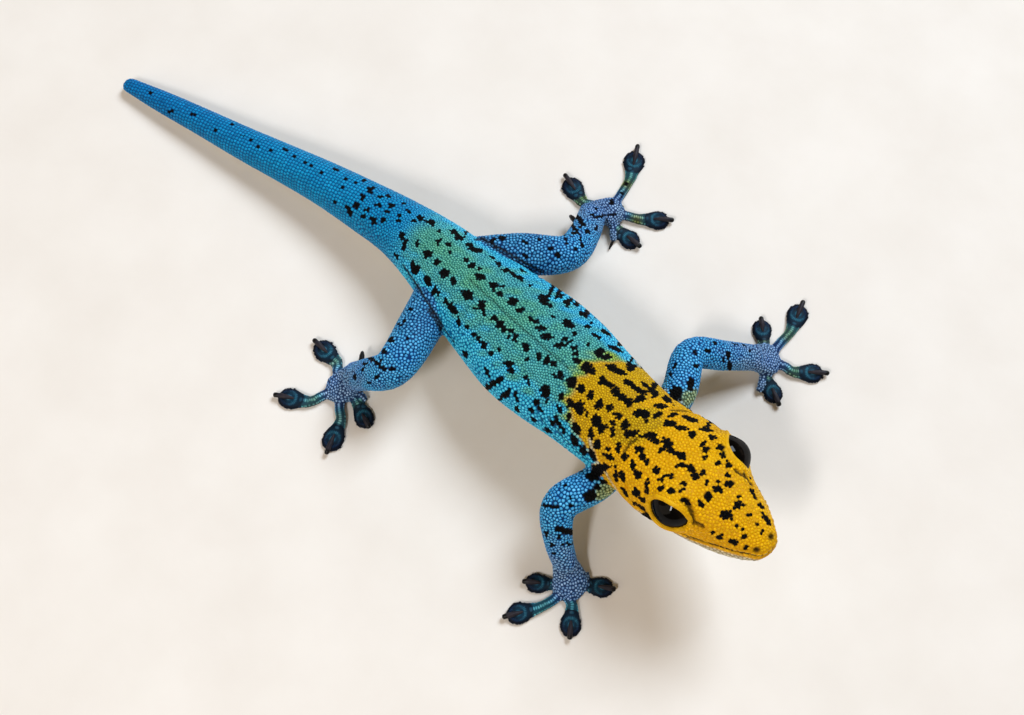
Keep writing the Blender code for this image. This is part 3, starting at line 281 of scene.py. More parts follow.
BACK_MARKS = (
    (456, 234, 7, 1.8, 30), (458, 238, 3, 2), (448.5, 244.3, 2.8, 2), (469.5, 244.7, 4.5, 1.6, 5),
    (475.7, 249.6, 8, 2, 12), (491.8, 257.2, 3.6, 1.2, 20), (498.5, 264, 2.8, 1.6, 40),
    (465.9, 260.4, 2.6, 2.2), (471.7, 265.7, 4.5, 2.2, -20), (478.8, 269.3, 1.8, 1.4),
    (480.6, 276.4, 5.5, 3, 10), (444.9, 273.7, 4.5, 4.5), (453.8, 280.4, 2.8, 3.4),
    (467.2, 294.7, 5.5, 5, 20), (506, 270, 4.5, 1.8, 5), (513.5, 275, 4, 2, 40), (520, 278, 3.6, 2.2, 20),
    (522.6, 270.6, 4, 0.9, 25), (493.6, 285.4, 4.4, 3.2), (502.5, 286.7, 2.2, 1.5), (494.9, 290.3, 1.5, 1.4),
    (500.7, 293.8, 3, 2.4, 30), (513.2, 301.4, 5.6, 4, -10), (520.2, 310, 5.1, 2.1, -8), (482, 305, 3.4, 4),
    (482.5, 309, 2.4, 3), (484, 314, 2, 2.2), (474.8, 308.6, 2, 1.4), (446, 301.5, 1.8, 3.6, -20),
    (451.5, 308, 3.4, 5, -30), (456, 312.5, 2.2, 2.4), (458.8, 322, 1.5, 5, 5), (494, 318, 3.4, 2.8, 20),
    (500.2, 324.6, 3.8, 3.9, 40), (504, 329.5, 2.6, 3), (510.6, 331, 2.2, 2.6, 30),
    (509, 336.4, 2.2, 1.4, -20), (515.3, 337.7, 2.6, 3.2, 20), (544, 299.6, 5.5, 4.5, 30),
    (551, 306, 2.4, 1.4), (530, 285.8, 2, 1.2), (531, 319.2, 3.2, 2.6, 40), (536, 321.7, 2.6, 1.8),
    (553.4, 317, 2.2, 1.2), (568.7, 323.6, 6.5, 3.7, 27), (559.6, 290.7, 4, 1.5, 30), (561.4, 296, 2.4, 1.6),
    (566.8, 301.4, 3.4, 1.8), (573, 297, 4, 1.2, 35), (554.3, 284.5, 3, 1, 40), (541.4, 328, 5, 2.1),
    (547, 336, 6, 2.9, 10), (574.7, 333.6, 2.8, 1.8), (565.2, 339.2, 2.8, 1.6), (569.2, 342.2, 3.8, 1, -23),
    (559.8, 345.2, 5.3, 2.5, -5), (574.3, 348, 3.2, 1.9), (575.1, 353.6, 2.9, 2.2),
    (577.1, 360.6, 3.9, 2.9, 15), (526, 347.2, 3.7, 4, -40), (538.4, 356, 2.5, 3.8, 10),
    (527.4, 358.9, 2.4, 1.6), (547, 360.5, 3.4, 4.5, 20), (553.5, 364, 3.4, 3.2), (560.1, 375.1, 2.8, 4),
    (553.9, 375.5, 1.4, 3), (509.1, 363.9, 5.2, 2.8, -10), (511.6, 370.5, 3, 3.4), (501.7, 379.2, 2.2, 2.2),
    (525.7, 378, 2.4, 2), (528.6, 383, 1.4, 4), (545.6, 391.3, 5, 6, -20), (547, 401, 1, 3),
    (560.9, 396.2, 2.6, 3, 30), (558.9, 408.7, 1.8, 5, -25), (508.3, 393.7, 1.4, 4),
    (516.2, 397, 1.4, 5, -10), (536, 402, 2.4, 3, -20), (541, 409.5, 1.2, 5, -35),
    (517.4, 409.5, 1.8, 4.5, -30), (531.5, 410.3, 2, 3.6, -30), (533.2, 419.5, 3.6, 1.6, 40),
    (553, 422, 2.6, 2.4, 30), (557.2, 419.5, 1.6, 5, -25), (562.2, 429.4, 1.2, 7, -30),
    (547.3, 430.2, 3.6, 1.6, 20), (466.8, 327.3, 1.3, 2.6, -30), (473.5, 334.5, 1.4, 2.2),
    (478.4, 339, 1.4, 4.5, -15), (483.8, 345, 2.4, 4.5), (491.3, 353.2, 1.8, 3), (499, 350, 1.6, 2),
    (465, 354, 1.6, 3.4, -10), (587.5, 326.6, 3.8, 1.4, 5), (587.5, 344.4, 1.5, 2), (583, 314.5, 6, 1.6, 30),
    (595.4, 334.9, 3.4, 1.2, 35), (596, 317.5, 6, 1.3, 40), (606, 332.4, 6, 1.6, 30),
    (615.3, 348.1, 6, 1.4, 20), (414.4, 220.6, 2.2, 2.2), (420.6, 218.3, 4, 2.4, 20),
    (430.5, 222.1, 5, 2.2, 10), (433.2, 225.1, 1.7, 1.5), (401.8, 236.2, 2.4, 4.2), (405.6, 241.2, 2, 2),
    (403.7, 246.6, 2, 4, 10), (417.1, 243.1, 1.6, 3), (439.3, 230.9, 1.3, 1.2), (453.5, 231.6, 3, 1.5),
    (466.5, 232, 3, 1, 10), (437.4, 242.7, 1.2, 2.4), (440, 240.1, 2, 1), (450, 251.9, 1.2, 1.6),
    (427.4, 253.8, 4, 3.3), (425.1, 257.3, 1.7, 2), (478.5, 381, 1.3, 3, -35), (488.5, 387.5, 1.4, 4, -40),
    (500.5, 398.8, 1.6, 3, -45), (487.5, 373, 1.0, 5, -25), (437, 262.6, 3, 3), (412.9, 263.8, 2, 2),
    (414, 269.5, 3.4, 6, -15), (417.9, 268, 2, 3), (427.4, 281, 3.2, 5.6, -15), (434.3, 291, 1.6, 4, 15),
    (438.1, 293.2, 1.6, 2.4), (396.9, 256.5, 1.5, 3.5, -30),
)
TAIL_MARKS = (
    (149.9, 92.5, 2.0, 1.6), (258.4, 147.6, 2, 1), (271, 150.1, 2.4, 1, 10), (285.3, 149.3, 1, 2),
    (294.5, 156.5, 1.8, 1.1), (305.4, 161.9, 1.8, 1.2, 30), (311.7, 165.9, 1.8, 1, 30),
    (320.9, 172.2, 1.6, 1.2), (335.1, 169.7, 2.4, 1.2), (345.6, 178.5, 2.4, 1.2), (354.8, 182.6, 1.4, 1),
    (363.8, 179.9, 1.6, 1), (341.6, 187.7, 1.6, 1.6), (369.7, 190, 1.6, 3.4, -30), (373.7, 187.7, 2, 1),
    (362.6, 198.3, 1.8, 3.2), (380.3, 196.7, 2.8, 1.4), (388.1, 196.7, 2, 1.2), (356.5, 205.5, 2.8, 3.4),
    (378.9, 205, 2.8, 1.6), (391.8, 205.5, 3, 1.7), (404.7, 203.6, 2.4, 1.2, 20), (346.8, 207.2, 2, 2.4),
    (350.2, 211.8, 1.8, 4, -20), (367.2, 210.1, 2, 2.2), (386.9, 211.8, 1.8, 1.4), (408.7, 211.3, 2.2, 1.4),
    (363.4, 216.4, 2, 2.4), (373.2, 219.9, 2.2, 4.4, -10), (383.5, 220.1, 2.4, 2.2),
    (399.9, 215.3, 2.4, 1.4), (398.4, 220.4, 2, 1.3), (334.7, 202.1, 1.6, 1.4), (193.3, 113.8, 2.4, 0.8, 20),
    (242.4, 135.5, 3, 0.8, 15), (251.5, 139.5, 2, 0.7), (232.2, 124, 1.6, 0.6), (171, 111.9, 2.4, 1.0),
    (215.6, 129.7, 2, 0.9),
)
LEG_MARKS = (
    (675, 366.7, 2, 3), (696, 366, 3.6, 2.4), (691, 384.5, 4, 6.5, 10), (675.8, 391.6, 8, 5.5),
    (670.4, 374, 1.4, 2.4), (707.8, 350.5, 3.4, 2.6), (715, 343.2, 2.2, 2), (728.4, 355, 2.4, 3.4, 10),
    (723.2, 360.8, 1.8, 2.2), (695.4, 352, 1.4, 3), (735, 344.7, 2, 1.2), (743.8, 345.4, 1.8, 1.2),
    (749.6, 352, 1.2, 2.4), (729.8, 368.9, 3, 1), (565, 485.7, 3, 2), (570.8, 497.9, 2.6, 2.4),
    (590.5, 496, 6.5, 6), (597.6, 486.4, 4, 3), (602.7, 481.3, 4, 3), (571.4, 506, 2, 1.6),
    (558, 507.4, 1.2, 1.6), (542, 504.9, 2.8, 2), (546.5, 533.6, 2, 3.4), (559.3, 536.8, 2.2, 2),
    (571.4, 532.3, 1.4, 4.5, -10), (551.6, 545, 2.2, 2), (562.5, 544.4, 1.6, 1.6), (567.6, 543, 1.4, 1.4),
    (553.5, 553.3, 1.8, 1.6), (574, 542.5, 1.4, 2.6), (493.6, 239.8, 3.5, 2, -30), (502.5, 237.6, 3.6, 2),
    (525.3, 242.5, 2.6, 1.8, 20), (538.5, 239.5, 3, 1.2, 30), (525.7, 255.9, 2.4, 3), (558.8, 255.9, 2, 4),
    (573, 233.6, 2.6, 1.8), (550.7, 248.8, 1.6, 1.6), (410, 309.2, 2.4, 1.4, -30), (404.6, 321.1, 2, 2.4),
    (399.7, 324.4, 2, 2), (390.5, 340.1, 3.4, 2.6), (383.5, 351, 2.6, 3), (380.8, 360.2, 2, 1.6),
    (373.2, 360.2, 2.2, 1.6), (392.2, 369.4, 3, 2.4), (376.4, 377, 2.6, 2.6), (365, 364, 2.4, 1.6),
    (362.9, 369.4, 1.8, 1.4), (354.8, 377, 1.4, 3), (368.3, 382.9, 2, 1.4), (406.2, 339, 1.6, 1.6),
    (404.1, 354.8, 1.8, 1.6), (577.8, 218, 3, 2), (573.2, 226.1, 3, 1.6), (573.2, 233.3, 2.6, 2.2),
    (580.8, 226.6, 1.8, 1.8), (587.4, 231.7, 3, 2.6), (596.1, 228.2, 1.6, 2.4), (580.3, 239.4, 2, 2),
    (582.3, 245.5, 2.4, 2.4), (575.2, 248, 2.4, 2), (564.5, 235.8, 1.8, 2), (593, 214.9, 2.2, 1.6),
    (596.1, 208.8, 2, 1.6), (604.3, 215.9, 2.6, 2), (611.4, 201.6, 2.2, 3.2), (558.4, 254.2, 3, 3.4),
    (625.4, 182.8, 2, 2), (622.1, 193.5, 1.8, 1.2), (621.6, 196.5, 1.4, 1.4),
)
# How many pixels wider the marks of each table are made
MARK_SPREADS = ((NECK_MARKS, 0.6), (HEAD_MARKS, 0.6), (BACK_MARKS, 0.5), (TAIL_MARKS, 0.6), (LEG_MARKS, 0.0))
# Folds of the hide: half width in pixels, depth in millimetres, darkness of the shade painted along the
# crease (and, where a thigh meets the trunk, of the painted shadow under the trunk's edge), then places in
# the picture
FOLDS = (
    (1.6, 0.16, 0.75, ((636, 439), (629, 444), (624.5, 452))),
    (1.5, 0.12, 0.70, ((671, 410), (686, 411), (700, 414.7))),
    (2.2, 0.20, 0.85, ((685, 500), (689, 506), (692.3, 514), (694.5, 523), (702.5, 526.5))),
    (1.8, 0.14, 0.95, ((744.5, 474), (748, 480), (751, 484))),
    (1.3, 0.10, 0.80, ((686.4, 537.3), (697, 539.3), (707.8, 542.6))),
    (1.4, 0.10, 0.40, ((470.4, 280), (506.6, 314), (538, 342.5), (568, 368))),
    (1.0, 0.10, 0.75, ((541, 418), (555, 437), (570, 452), (580, 461))),
    (1.0, 0.10, 0.75, ((549, 417), (563, 437), (579, 453.5), (590, 462))),
    (0.9, 0.08, 0.60, ((558, 420), (569, 436), (580, 446))),
    # Here and in the lines at (475.7, 235.4) and (478, 235.5) the darkness is mostly a painted shadow where a
    # thigh meets the trunk
    (1.6, 0.12, 0.90, ((403, 265.7), (409.8, 274.9), (418, 287), (428, 303), (440, 322), (454, 343))),
    (2.6, 0.10, 0.85, ((430, 310), (436, 320), (441, 329))),
    (1.2, 0.10, 0.65, ((475.7, 235.4), (498, 251), (520, 264), (541.8, 275.5))),
    (1.4, 0.12, 0.90, ((735, 470), (744, 477))),
    (1.6, 0.06, 0.90, ((478, 235.5), (500, 248.5), (522, 261), (543, 272))),
)
# Pale lines along the lower edges of the neck: half width in pixels, then places in the picture
PALE_LINES = (
    (1.9, ((590, 440), (597, 462), (606, 472), (617, 490), (628, 503), (640, 512))),
    (1.6, ((648, 370), (665, 390), (680, 402), (700, 410), (712, 418))),
)
# Greener yellow of the nape and pale green of the armpits: place in the picture, radius in millimetres
CITRON_SPOTS = ((637, 428, 1.7), (648, 421, 1.5), (622, 432, 1.3), (600, 374, 1.0))
LIME_SPOTS = ((607, 491, 1.0), (601, 495, 0.8), (688, 399, 0.9), (694, 396, 0.8))
# Rear border of the yellow, from the left flank over the back to the right flank
YELLOW_BORDER = ((655, 377.5), (646, 369.8), (632.9, 364.8), (609.7, 359.8), (589.8, 360.8), (579.8, 374.7),
                 (568.2, 399.6), (571.5, 422.8), (588, 451), (598, 462.6))

# Where the teal patch of the back begins, and where the head begins, on the middle of the back
PATCH_START, NAPE_START_SPOT = (403, 240), (662, 412)

# Colours as they are read off a screen. Each zone of the hide: two colours of its scales, a painted highlight
# for their crowns, and one for the gaps and the scales' low sides: partly darker skin, partly painted shade
FLANK = ((26, 174, 226), (40, 190, 228), (118, 228, 248), (6, 84, 136))
ZONES = (
    ("back", (64, 164, 176), (76, 168, 150), (112, 202, 200), (20, 88, 104)),
    ("moss", (76, 164, 138), (88, 168, 122), (122, 198, 166), (26, 90, 84)),
    ("tail", (0, 126, 184), (2, 136, 190), (26, 162, 212), (0, 72, 126)),
    ("tip", (0, 98, 166), (0, 110, 178), (12, 130, 196), (0, 58, 114)),
    ("leg", (30, 142, 214), (48, 162, 222), (132, 214, 250), (5, 30, 84)),
    ("dusk", (20, 104, 162), (34, 122, 176), (118, 196, 238), (3, 20, 66)),
    ("violet", (88, 132, 190), (114, 148, 186), (192, 208, 236), (22, 36, 76)),
    ("stalk", (40, 130, 160), (58, 132, 124), (112, 190, 206), (20, 60, 78)),
    ("olive", (150, 140, 28), (100, 134, 62), (186, 180, 72), (56, 58, 20)),
    ("pad", (30, 88, 116), (44, 112, 134), (66, 136, 156), (14, 48, 68)),
    ("rim", (9, 20, 44), (14, 34, 62), (24, 50, 80), (5, 12, 26)),
    ("meadow", (116, 162, 84), (144, 170, 52), (168, 194, 92), (44, 92, 50)),
    ("yellow", (232, 176, 2), (222, 162, 0), (242, 190, 6), (212, 152, 2)),
    ("citron", (194, 158, 6), (180, 148, 8), (216, 184, 24), (132, 104, 4)),
    ("lime", (170, 172, 76), (120, 160, 120), (206, 206, 128), (66, 74, 30)),
    ("pale", (204, 202, 180), (188, 190, 174), (224, 222, 200), (140, 136, 112)),
)
# The second colour here is painted shade, laid in the line of the mouth, along the folds and in the nostrils
INK, CREASE_SHADE = (1, 1, 2), (20, 13, 5)
HORN, SHEATH = ((5, 5, 7), (18, 17, 20)), ((26, 24, 34), (46, 39, 45))      # dark and lighter
HIDE_GLINT = 0.10


def cubic(rows, knots, slopes, along):
    """Row at a distance along a smooth run of rows"""
    i = int(np.clip(np.searchsorted(knots, along, "right") - 1, 0, len(knots) - 2))
    span = knots[i + 1] - knots[i]
    t = (along - knots[i]) / span
    h = (2 * t**3 - 3 * t**2 + 1, t**3 - 2 * t**2 + t, 3 * t**2 - 2 * t**3, t**3 - t**2)
    return h[0] * rows[i] + h[1] * span * slopes[i] + h[2] * rows[i + 1] + h[3] * span * slopes[i + 1]


class Track:
    """Smooth line through rows of numbers whose first three columns are a place"""

    def __init__(self, rows):
        self.rows = np.array(rows, float)
        steps = np.linalg.norm(np.diff(self.rows[:, :3], axis=0), axis=1)
        self.knots = np.concatenate(([0.0], np.cumsum(steps)))
        self.slopes = np.gradient(self.rows, self.knots, axis=0)

    def at(self, along):
        """Row at a distance along the line"""
        return cubic(self.rows, self.knots, self.slopes, along)

    def forward(self, along, step=0.05):
        """Direction of the line there"""
        ahead = self.at(along + step)[:3] - self.at(along - step)[:3]
        return ahead / np.linalg.norm(ahead)


def unit(vectors):
    """Vectors of length one"""
    vectors = np.asarray(vectors, float)
    return vectors / np.maximum(np.linalg.norm(vectors, axis=-1, keepdims=True), 1e-9)


def smooth_step(low, high, values):
    """0 below low, 1 above high, soft between"""
    share = np.clip((np.asarray(values, float) - low) / (high - low), 0.0, 1.0)
    return share * share * (3 - 2 * share)


def bell(values):
    """1 at 0, falling off softly on both sides"""
    return np.exp(-values**2)


def circle(turns):
    """Points of a circle of radius one"""
    return np.column_stack((np.cos(turns), np.sin(turns)))


def tree_of(points):
    """Search tree of points"""
    tree = KDTree(len(points))
    for k, point in enumerate(points):
        tree.insert(point, k)
    tree.balance()
    return tree


def put_in_scene(name, data):
    """New object of some data"""
    item = bpy.data.objects.new(name, data)
    bpy.context.scene.collection.objects.link(item)
    return item


def evaluated_mesh(item):
    """Plain mesh of an object with its modifiers applied; the object goes"""
    bpy.context.view_layer.update()
    mesh = bpy.data.meshes.new_from_object(item.evaluated_get(bpy.context.evaluated_depsgraph_get()))
    bpy.data.objects.remove(item, do_unlink=True)
    return mesh


def rotation(yaw, pitch, roll):
    """Turns a frame by yaw, then raises its nose by pitch, then rolls it, in degrees"""
    turn = Matrix.Rotation(math.radians(yaw), 3, "Z")
    lift = Matrix.Rotation(math.radians(-pitch), 3, "Y")
    bank = Matrix.Rotation(math.radians(roll), 3, "X")
    return np.array(turn @ lift @ bank)


HEAD_AXES = rotation(HEAD_YAW, HEAD_PITCH, HEAD_ROLL)


def head_to_world(points):
    """Places points of the head's frame in the model's"""
    return np.asarray(points, float) @ HEAD_AXES.T + np.array(EYE_MIDPOINT)


def world_to_head(points):
    """Places points of the model in the head's frame"""
    return (np.asarray(points, float) - np.array(EYE_MIDPOINT)) @ HEAD_AXES


def oval(angles, half_width, rise, drop, upper, lower):
    """Points (across, up) of an oval section with its own exponent above and below the middle line"""
    c = np.cos(angles)
    s = np.sin(angles)
    exponent = np.where(s >= 0, 2.0 / upper, 2.0 / lower)
    across = half_width * np.sign(c) * np.abs(c) ** exponent
    height = np.where(s >= 0, rise, drop) * np.sign(s) * np.abs(s) ** exponent
    return across, height


def level_frame(forward):
    """Side and up of a section that stands square to a direction, its width level"""
    side = unit(np.cross((0.0, 0.0, 1.0), forward))
    return side, np.cross(forward, side)


def ring_across(centre, forward, across, height):
    """Points of such a section"""
    side, up = level_frame(forward)
    return centre + np.outer(across, side) + np.outer(height, up)


# Shapes of the flesh

class Limb:
    """One length of the animal: its sections and the frames along its middle"""

    def __init__(self, name, kind):
        self.name, self.kind = name, kind
        self.rings, self.centres, self.sides, self.ups, self.sizes = [], [], [], [], []

    def add(self, ring, centre, side, up, half_width, half_height):
        """Adds a section"""
        self.rings.append(ring)
        self.centres.append(centre)
        self.sides.append(side)
        self.ups.append(up)
        self.sizes.append((half_width, half_height))

    def close(self, start_pole=None, end_pole=None):
        """Works out distances along the middle once all sections are there"""
        self.start_pole, self.end_pole = start_pole, end_pole
        self.centres, self.sides = np.array(self.centres), np.array(self.sides)
        self.ups, self.sizes = np.array(self.ups), np.array(self.sizes)
        self.fronts = unit(np.gradient(self.centres, axis=0))
        steps = np.linalg.norm(np.diff(self.centres, axis=0), axis=1)
        self.along = np.concatenate(([0.0], np.cumsum(steps)))
        return self

    def frame_at(self, along):
        """Middle, side, up and half sizes at a distance along it"""
        parts = (self.centres, self.sides, self.ups, self.sizes)
        return [np.array([np.interp(along, self.along, column) for column in part.T]) for part in parts]


ROUND = (np.arange(48) + 0.5) * 2 * np.pi / 48


def head_row(x):
    """Line of the mouth, half width, top and underside of the head at x, in its own frame"""
    rows = np.array(HEAD)
    knots = rows[:, 0]
    return cubic(rows, knots, np.gradient(rows, knots, axis=0), x)[1:]


def eye_centre(side):
    """Middle of an eyeball in the head's frame"""
    return np.array(EYE_MIDDLE) * (1, side, 1)


def eye_axes(side):
    """Axes of an eye as columns: forward along its opening, out of the pupil, up its opening"""
    ahead, lift, tilt = (math.radians(angle) for angle in (EYE_FORWARD, EYE_UP[side], EYE_TILT))
    out = np.array((math.sin(ahead) * math.cos(lift), math.cos(ahead) * math.cos(lift), math.sin(lift)))
    level = np.array((math.cos(ahead), -math.sin(ahead), 0.0))
    along = level * math.cos(tilt) + np.cross(level, out) * math.sin(tilt)
    mirror = np.array((1.0, side, 1.0))
    return np.column_stack((along * mirror, out * mirror, np.cross(along, out) * mirror))


def over_eyes(points):
    """Pushes the skin of the head out to the lids round each eyeball, running out softly"""
    for side in (1, -1):
        away = points - eye_centre(side)
        reach = np.linalg.norm(away, axis=1)
        pushed = (reach + LID_REACH + np.sqrt((reach - LID_REACH) ** 2 + LID_BLEND**2)) / 2
        near = (points[:, 1] * side > 0)[:, None]
        points = np.where(near, eye_centre(side) + away * (pushed / reach)[:, None], points)
    return points


def nape_bend(x):
    """How far the back of the head bends to the animal's right"""
    return NAPE_BEND * np.clip((x - NAPE_START) / (HEAD_BACK - NAPE_START), 0.0, 1.5) ** 2


def head_section(x):
    """Points of the head's section at x, in its own frame, drawn in by the depth of the coat"""
    mouth, width, top, under = head_row(x)
    across, height = oval(ROUND, width - COAT, top - COAT - mouth, mouth - under - COAT,
                          SKULL_SQUARENESS, JAW_SQUARENESS)
    swell = np.interp(x, *np.array(JAW_SWELL).T)
    across = across * (1 + swell * smooth_step(-0.1, 0.5, -np.sin(ROUND)))
    return over_eyes(np.column_stack((np.full(len(ROUND), x), across + nape_bend(x), height + mouth)))


def trunk_section(row, forward, swell=1.0):
    """Section of the trunk from a row of its table"""
    width, rise, drop = (row[3:6] - COAT) * swell
    across, height = oval(ROUND, width, rise, drop, TRUNK_SQUARENESS, TRUNK_SQUARENESS)
    return ring_across(row[:3], forward, across, height)


def shape_spine():
    """Tail, torso, neck and head as one length"""
    spine = Limb("spine", "spine")
    track = Track(TRUNK)
    tip = np.array(TAIL_TIP)
    for share in TIP_SHARES:
        row = track.at(0.0).copy()
        row[:3] = tip + (row[:3] - tip) * share
        forward = track.forward(0.0, 0.2)
        swell = math.sqrt(1 - (1 - share) ** 2)
        size = (row[3] * swell, row[4] * swell)
        spine.add(trunk_section(row, forward, swell), row[:3], *level_frame(forward), *size)
    last = track.knots[-1]
    for along in np.arange(0.0, last, TRUNK_STEP):
        row, forward = track.at(along), track.forward(along)
        spine.add(trunk_section(row, forward), row[:3], *level_frame(forward), row[3], row[4])
    row, forward = track.at(last), track.forward(last)
    trunk_ring = trunk_section(row, forward)
    trunk_side, trunk_up = level_frame(forward)
    head_ring = head_to_world(head_section(HEAD_BACK))
    mouth, width, top, _ = head_row(HEAD_BACK)
    head_middle = head_to_world((HEAD_BACK, nape_bend(HEAD_BACK), mouth))
    start, end = trunk_ring.mean(axis=0), head_ring.mean(axis=0)
    for share in np.linspace(0.0, 0.9, NECK_SECTIONS):
        blend = smooth_step(0.0, 1.0, share)
        offsets = (trunk_ring - start) * (1 - blend) + (head_ring - end) * blend
        centre = row[:3] * (1 - share) + head_middle * share
        side = unit(trunk_side * (1 - blend) + HEAD_AXES[:, 1] * blend)
        up = unit(trunk_up * (1 - blend) + HEAD_AXES[:, 2] * blend)
        spine.add(start * (1 - share) + end * share + offsets, centre, side, up,
                  row[3] * (1 - blend) + width * blend, row[4] * (1 - blend) + (top - mouth) * blend)
    for x in np.concatenate((np.arange(HEAD_BACK, 6.2, 0.3), np.arange(6.2, 7.25, 0.15))):
        mouth, width, top, _ = head_row(x)
        centre = head_to_world((x, nape_bend(x), mouth))
        spine.add(head_to_world(head_section(x)), centre, HEAD_AXES[:, 1], HEAD_AXES[:, 2],
                  width, top - mouth)
    return spine.close(tip, head_to_world((SNOUT_TIP, 0.0, HEAD[-1][1])))


LEG_ROUND = (np.arange(20) + 0.5) * 2 * np.pi / 20


def shape_leg(name):
    """Upper and lower length of a leg"""
    leg = Limb(name, "leg")
    track = Track(LEGS[name])
    for along in np.linspace(0.0, track.knots[-1] + 0.3, 26):
        row, forward = track.at(along), track.forward(along)
        across, height = oval(LEG_ROUND, row[3] - COAT, row[4] - COAT, row[4] - COAT,
                              LEG_SQUARENESS, LEG_SQUARENESS)
        leg.add(ring_across(row[:3], forward, across, height), row[:3], *level_frame(forward), *row[3:5])
    return leg.close(), track


def shape_palm(name, track):
    """Hand or foot from the wrist to its front edge, flat below"""
    palm = Limb(name + "_palm", "palm")
    wrist, ahead_at_wrist = track.rows[-1], track.forward(track.knots[-1])
    middle = np.array((*FEET[name]["palm"], 0.0))
    heading = unit((middle - wrist[:3]) * (1, 1, 0))
    rows = [(*wrist[:3], wrist[3], wrist[4], wrist[4])]
    for share, level, width, rise, drop in PALM_SECTIONS:
        spot = middle + heading * share * PALM_LENGTH[name]
        rows.append((*spot[:2], level, width * PALM_WIDTH, rise, drop))
    shape = Track(rows)
    for share in np.linspace(0.0, 1.0, 12):
        row = shape.at(share * shape.knots[-1])
        width, rise, drop = row[3:6] - COAT
        across, height = oval(LEG_ROUND, width, rise, drop,
                              LEG_SQUARENESS, LEG_SQUARENESS + SOLE_GAIN * share)
        turned = min(share * 2.5, 1.0)
        ahead = unit(ahead_at_wrist * (1 - turned) + heading * turned)
        palm.add(ring_across(row[:3], ahead, across, height), row[:3], *level_frame(ahead), row[3], row[4])
    pole = middle + heading * (PALM_LENGTH[name] + PALM_NOSE - COAT) + (0, 0, PALM_NOSE)
    return palm.close(None, pole)


def shape_toe(name, number):
    """Stalk and pad of one toe"""
    toe = Limb("%s_toe_%d" % (name, number), "toe")
    radius = PAD_RADIUS[name][number] + MELT_LOSS
    *root, pad, tip = [np.array((*point, 0.0)) for point in FEET[name]["toes"][number]]
    heading = unit(tip - pad)
    neck = pad - heading * radius * STALK_END
    start = np.array((*FEET[name]["palm"], 0.0)) * 0.5 + (root[0] if root else neck) * 0.5
    stalk = Track([start, *(root or [(start + neck) / 2]), neck])
    section = np.array(TOE_SECTION)

    def add(centre, ahead, half_width, height):
        side = np.array((-ahead[1], ahead[0], 0.0))
        up = np.array((0.0, 0.0, 1.0))
        ring = centre + np.outer(section[:, 0] * half_width, side) + np.outer(section[:, 1] * height, up)
        toe.add(ring, centre + up * height * 0.4, side, up, half_width, height * 0.6)

    for along in np.linspace(0.0, stalk.knots[-1], 8)[:-1]:
        add(stalk.at(along), stalk.forward(along), TOE_WIDTH - COAT / 2, TOE_HEIGHT - COAT / 2)
    for share, width, height in PAD_PROFILE:
        centre = pad + heading * share * radius
        add(centre, heading, width * radius - COAT / 2, height * PAD_HEIGHT - COAT / 2)
    toe.pad, toe.heading, toe.radius, toe.tip = pad, heading, radius, tip
    toe.foot = name
    return toe.close(None, pad + heading * (radius - COAT / 2) + (0.0, 0.0, PAD_NOSE))


def shape_rod(name, ends, radii):
    """Small round rod, such as the tiny first digit or the spur of the heel"""
    rod = Limb(name, "rod")
    start, end = [np.array(point, float) for point in ends]
    forward = unit(end - start)
    turns = np.arange(8) * 2 * np.pi / 8
    for share in np.linspace(0.0, 1.0, 5):
        radius = radii[0] * (1 - share) + radii[1] * share
        centre = start * (1 - share) + end * share
        rod.add(ring_across(centre, forward, radius * np.cos(turns), radius * np.sin(turns)),
                centre, *level_frame(forward), radius, radius)
    return rod.close(None, end + forward * radii[1] * 0.7)


def shape_limbs():
    """Every length of the animal"""
    limbs = [shape_spine()]
    for name in LEGS:
        leg, track = shape_leg(name)
        limbs += [leg, shape_palm(name, track)]
        limbs += [shape_toe(name, number) for number in FEET[name]["toes"]]
        root, tip = FEET[name]["nub"]
        ends = ((*root, NUB_HEIGHTS[0]), (*tip, NUB_HEIGHTS[1]))
        limbs.append(shape_rod(name + "_nub", ends, (NUB_RADIUS, NUB_RADIUS * 0.85)))
    return limbs


def melt(limbs):
    """Closed shells of all lengths melted into one surface: places and four-sided faces"""
    shape = bmesh.new()
    for limb in limbs:
        rows = []
        for ring in limb.rings:
            ring[:, 2] = np.maximum(ring[:, 2], 0.0)
            rows.append([shape.verts.new(point) for point in ring])
        for low, high in zip(rows, rows[1:]):
            for a, b, c, d in zip(low, low[1:] + low[:1], high[1:] + high[:1], high):
                shape.faces.new((a, b, c, d))
        for row, pole in ((rows[0], limb.start_pole), (rows[-1], limb.end_pole)):
            if pole is None:
                shape.faces.new(row)
                continue
            tip = shape.verts.new(pole)
            for a, b in zip(row, row[1:] + row[:1]):
                shape.faces.new((a, b, tip))
    bmesh.ops.recalc_face_normals(shape, faces=shape.faces[:])
    mesh = bpy.data.meshes.new("flesh")
    shape.to_mesh(mesh)
    shape.free()
    item = put_in_scene("flesh", mesh)
    melting = item.modifiers.new("melt", "REMESH")
    melting.mode = "VOXEL"
    melting.voxel_size = VOXEL
    melted = evaluated_mesh(item)
    places = np.empty(len(melted.vertices) * 3)
    melted.vertices.foreach_get("co", places)
    corners = np.empty(len(melted.loops), int)
    melted.loops.foreach_get("vertex_index", corners)
    edges = np.empty(len(melted.edges) * 2, int)
    melted.edges.foreach_get("vertices", edges)
    return places.reshape(-1, 3), corners.reshape(-1, 4), edges.reshape(-1, 2)


def relax_surface(places, edges, rounds=4):
    """Takes the grain of the melting out of a surface without shrinking it"""
    count = np.bincount(edges.ravel(), minlength=len(places))[:, None]
    for share in (0.5, -0.52) * rounds:
        total = np.zeros_like(places)
        np.add.at(total, edges[:, 0], places[edges[:, 1]])
        np.add.at(total, edges[:, 1], places[edges[:, 0]])
        places = places + share * (total / count - places)
    return places


